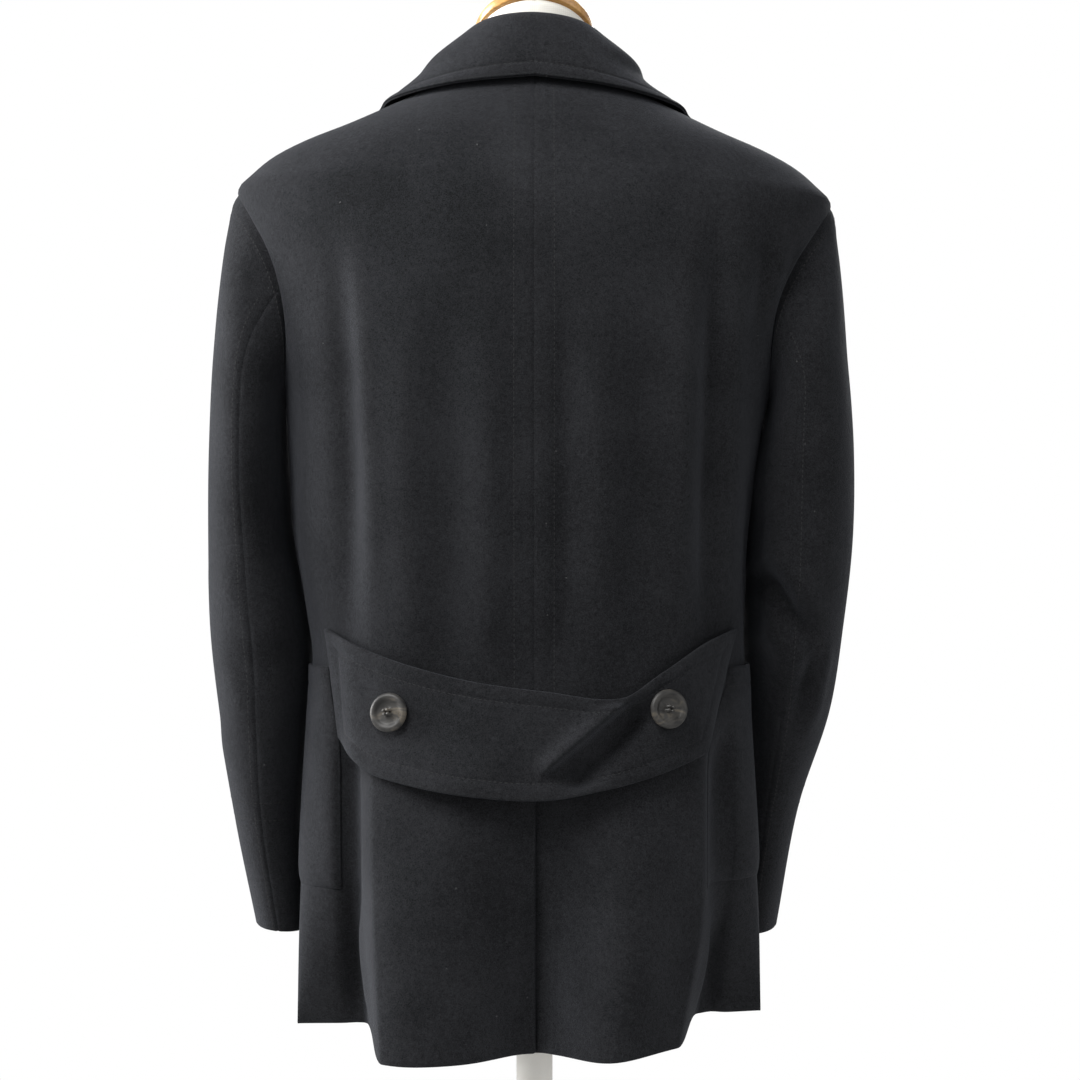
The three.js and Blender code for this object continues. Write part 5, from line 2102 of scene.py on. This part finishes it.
@dataclass(frozen=True)
class HornFinish:
    """Polished horn, grey-brown with paler drawn-out streaks."""

    dark: Colour = (0.0120, 0.0115, 0.0110)
    middle: Colour = (0.034, 0.032, 0.029)
    pale: Colour = (0.085, 0.072, 0.055)
    roughness: float = 0.46
    specular: float = 0.35

    def build(self, groups: Groups) -> Material:
        """Makes the material.

        Args:
            groups: the shared effects.

        Returns:
            The material.
        """
        material, net, shader = new_finish("polished_horn")
        grain = add_group(net, groups.streak, Across=95.0, Along=38.0, Twist=1.6)
        stops = [(0.30, self.dark), (0.52, self.middle), (0.66, self.pale), (0.74, self.middle)]
        net.join(net.ramp(grain.outputs["Tone"], stops), shader.inputs["Base Color"])
        wear = net.add("ShaderNodeMapRange", To_Min=self.roughness - 0.08, To_Max=self.roughness + 0.16)
        net.join(grain.outputs["Fine"], wear.inputs["Value"])
        net.join(wear.outputs[0], shader.inputs["Roughness"])
        give(shader, Specular_IOR_Level=self.specular)
        add_bump(net, grain.outputs["Fine"], shader, 0.12, 0.0003)
        return material


@dataclass(frozen=True)
class CottonFinish:
    """Cream-white cotton cover in a plain weave."""

    pale: Colour = (0.86, 0.84, 0.78)
    shade: Colour = (0.74, 0.71, 0.64)
    roughness: float = 0.9
    threads: float = 1250.0 / 6.283

    def build(self, groups: Groups) -> Material:
        """Makes the material.

        Args:
            groups: the shared effects.

        Returns:
            The material.
        """
        material, net, shader = new_finish("cotton_cover")
        place = net.add("ShaderNodeTexCoord").outputs["Object"]
        waves = []
        for direction in ("X", "Z"):
            wave = net.add("ShaderNodeTexWave", Scale=self.threads, Distortion=0.6)
            wave.bands_direction = direction
            net.join(place, wave.inputs["Vector"])
            waves.append(wave.outputs["Fac"])
        weave = net.math("MULTIPLY", *waves)
        nap = add_group(net, groups.nap, Fibre_Size=0.0016, Clump_Size=0.02, Lint_Share=0.0)
        tone = net.weigh((weave, 0.4), (nap.outputs["Tone"], 0.6))
        net.join(net.ramp(tone, [(0.2, self.shade), (0.6, self.pale)]), shader.inputs["Base Color"])
        give(shader, Roughness=self.roughness)
        add_bump(net, tone, shader, 0.35, 0.0004)
        return material


@dataclass(frozen=True)
class WoodFinish:
    """Amber varnished wood with fine grain."""

    dark: Colour = (0.30, 0.115, 0.022)
    light: Colour = (0.66, 0.36, 0.10)
    roughness: float = 0.36
    coat: float = 0.4
    coat_roughness: float = 0.15

    def build(self, groups: Groups) -> Material:
        """Makes the material.

        Args:
            groups: the shared effects.

        Returns:
            The material.
        """
        material, net, shader = new_finish("varnished_wood")
        grain = add_group(net, groups.streak, Across=70.0, Along=7.0, Twist=0.8)
        tone = net.weigh((grain.outputs["Tone"], 0.6), (grain.outputs["Fine"], 0.4))
        net.join(net.ramp(tone, [(0.36, self.dark), (0.6, self.light)]), shader.inputs["Base Color"])
        give(shader, Roughness=self.roughness, Coat_Weight=self.coat, Coat_Roughness=self.coat_roughness)
        add_bump(net, grain.outputs["Fine"], shader, 0.15, 0.0004)
        return material


@dataclass(frozen=True)
class PaintFinish:
    """Off-white satin paint with a little unevenness and soft scuffs."""

    colour: Colour = (0.76, 0.74, 0.69)
    scuffed: Colour = (0.60, 0.58, 0.53)
    roughness: float = 0.42

    def build(self, groups: Groups) -> Material:
        """Makes the material.

        Args:
            groups: the shared effects.

        Returns:
            The material.
        """
        material, net, shader = new_finish("satin_paint")
        nap = add_group(net, groups.nap, Fibre_Size=0.004, Clump_Size=0.03, Lint_Share=0.0)
        colour = net.ramp(nap.outputs["Tone"], [(0.30, self.scuffed), (0.44, self.colour)])
        net.join(colour, shader.inputs["Base Color"])
        rough = net.math("ADD", net.math("MULTIPLY", nap.outputs["Tone"], 0.25), self.roughness - 0.12)
        net.join(rough, shader.inputs["Roughness"])
        add_bump(net, nap.outputs["Height"], shader, 0.08, 0.0005)
        return material


@dataclass
class Studio:
    """Plain soft light from the upper left of the view, a white surround, a pale floor and the camera."""

    camera_place: tuple[float, float, float] = (-0.0046, 1.75, 1.030)
    lens: float = 70.1
    sensor: float = 36.0
    floor_radius: float = 1.4
    floor_low: float = -0.4
    floor_greys: tuple[tuple[float, float], ...] = ((0.3, 0.50), (0.7, 0.53))
    floor_roughness: float = 0.85
    surround: float = 0.5
    aim: tuple[float, float, float] = (0, 0, 1.05)
    softboxes: tuple[tuple[str, tuple[float, float, float], float, float], ...] = (
        ("key", (1.35, 1.1, 2.95), 1.6, 105),
        ("side", (2.0, -0.3, 1.4), 1.1, 74),
        ("fill", (-2.2, 1.2, 1.4), 1.6, 12),
        ("front", (-0.9, -2.4, 2.3), 1.6, 75),
    )

    def camera(self) -> None:
        """Puts the camera behind the coat, level."""
        data = bpy.data.cameras.new("view_from_behind")
        data.lens, data.sensor_width, data.sensor_fit = self.lens, self.sensor, "HORIZONTAL"
        thing = bpy.data.objects.new("view_from_behind", data)
        thing.location = self.camera_place
        thing.rotation_euler = (math.radians(90), 0, math.radians(180))
        bpy.context.scene.collection.objects.link(thing)
        bpy.context.scene.camera = thing

    def surround_light(self) -> None:
        """A white backdrop for the camera and dimmer soft light for the object."""
        world = bpy.data.worlds.new("white_surround")
        bpy.context.scene.world = world
        world.use_nodes = True
        tree = world.node_tree
        tree.nodes.clear()
        net = NodeNet(tree)
        path = net.add("ShaderNodeLightPath")
        seen = net.add("ShaderNodeBackground", Color=(1, 1, 1, 1))
        soft = net.add("ShaderNodeBackground", Color=(0.98, 0.99, 1, 1), Strength=self.surround)
        both = net.add("ShaderNodeMixShader")
        net.join(path.outputs["Is Camera Ray"], both.inputs[0])
        net.join(soft.outputs[0], both.inputs[1])
        net.join(seen.outputs[0], both.inputs[2])
        end = net.add("ShaderNodeOutputWorld")
        net.join(both.outputs[0], end.inputs[0])

    def lamp(self, name: str, place: tuple[float, float, float], size: float, watts: float) -> None:
        """Adds a square softbox that points at the coat.

        Args:
            name: its name.
            place: where it stands.
            size: its side in metres.
            watts: its power.
        """
        data = bpy.data.lights.new(name, "AREA")
        data.size, data.energy = size, watts
        thing = bpy.data.objects.new(name, data)
        thing.location = place
        thing.rotation_euler = (Vector(self.aim) - Vector(place)).to_track_quat("-Z", "Y").to_euler()
        bpy.context.scene.collection.objects.link(thing)

    def floor(self) -> None:
        """A pale plain floor."""
        reach = self.floor_radius / MM
        turns = ((-1, -1), (1, -1), (1, 1), (-1, 1))
        corners = np.array([(x * reach, y * reach, self.floor_low) for x, y in turns])
        material, net, shader = new_finish("pale_floor")
        grain = net.noise(net.add("ShaderNodeTexCoord").outputs["Object"], Scale=30.0, Detail=4.0)
        stops = [(place, (grey,) * 3) for place, grey in self.floor_greys]
        net.join(net.ramp(grain.outputs["Fac"], stops), shader.inputs["Base Color"])
        give(shader, Roughness=self.floor_roughness)
        make_mesh("pale_floor", corners, np.array([(0, 1, 2, 3)]), material)

    def build(self) -> None:
        """Sets up camera, surround, lights and floor."""
        self.camera()
        self.surround_light()
        for name, place, size, watts in self.softboxes:
            self.lamp(f"{name}_softbox", place, size, watts)
        self.floor()
        scene = bpy.context.scene
        scene.view_settings.view_transform = "Standard"
        scene.view_settings.look = "None"


# Buttons: the belt's with place and turn, then the front's, which the maker sewed on a little unevenly
BELT_BUTTONS = (("back_button_left", 112, 893, 12), ("back_button_right", -104, 898, -20))
BUTTON_ROWS = (1218.0, 1098.0, 978.0)
BUTTON_COLUMNS = (-74.0, 74.0)
BUTTON_SUNK = 0.2
ROW_TURN, COLUMN_TURN = 25, 14


def main() -> None:
    """Builds the dressed coat piece by piece."""
    logging.basicConfig(level=logging.INFO, format="%(name)s %(message)s")
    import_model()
    studio = Studio()
    studio.build()
    groups = Groups(fibre_nap(), streaks())
    wool = WoolFinish().build(groups)
    thread = ThreadFinish().build()
    horn = HornFinish().build(groups)
    cotton = CottonFinish().build(groups)
    wood = WoodFinish().build(groups)
    paint = PaintFinish().build(groups)
    Cloth.wool = wool
    form = DressForm()
    form.build(cotton, wood)
    Stand().build(form.board(wood), paint)
    back, belt = BackPanels(), HalfBelt()
    for side in Side:
        back.build(side)
        FRONTS.build(side)
        Pocket(side, *POCKET_BACK[side]).build()
    for side in Side:
        Sleeve(side, *SLEEVES[side]).build()
    collar = Collar()
    collar.build_stand()
    collar.build_fall()
    Lapel(Side.LEFT, 4.4, 0.04, Cut(0.08, 0.15, 0.77, "folded")).build()
    Lapel(Side.RIGHT, 3.4, 0.59, Cut(0.08, 0.08, 0.82, "folded")).build()
    button = HornButton(horn=horn, thread=thread)
    for node, x, z, turn in BELT_BUTTONS:
        seat, out = belt.near(x, z)
        button.build(node, seat + out * button.shank, out, turn)
    for row, z in enumerate(BUTTON_ROWS):
        for k, x in enumerate(BUTTON_COLUMNS):
            points, out, over = FRONTS.place(Side.LEFT, np.array([x]), np.array([z]))
            seat = points[0] + out[0] * (over[0] - BUTTON_SUNK)
            button.build(f"front_button_{2 * row + k + 1}", seat, out[0], ROW_TURN * row - COLUMN_TURN * k)
    belt.build()
    SEWING.build(thread)


if __name__ == "__main__":
    main()
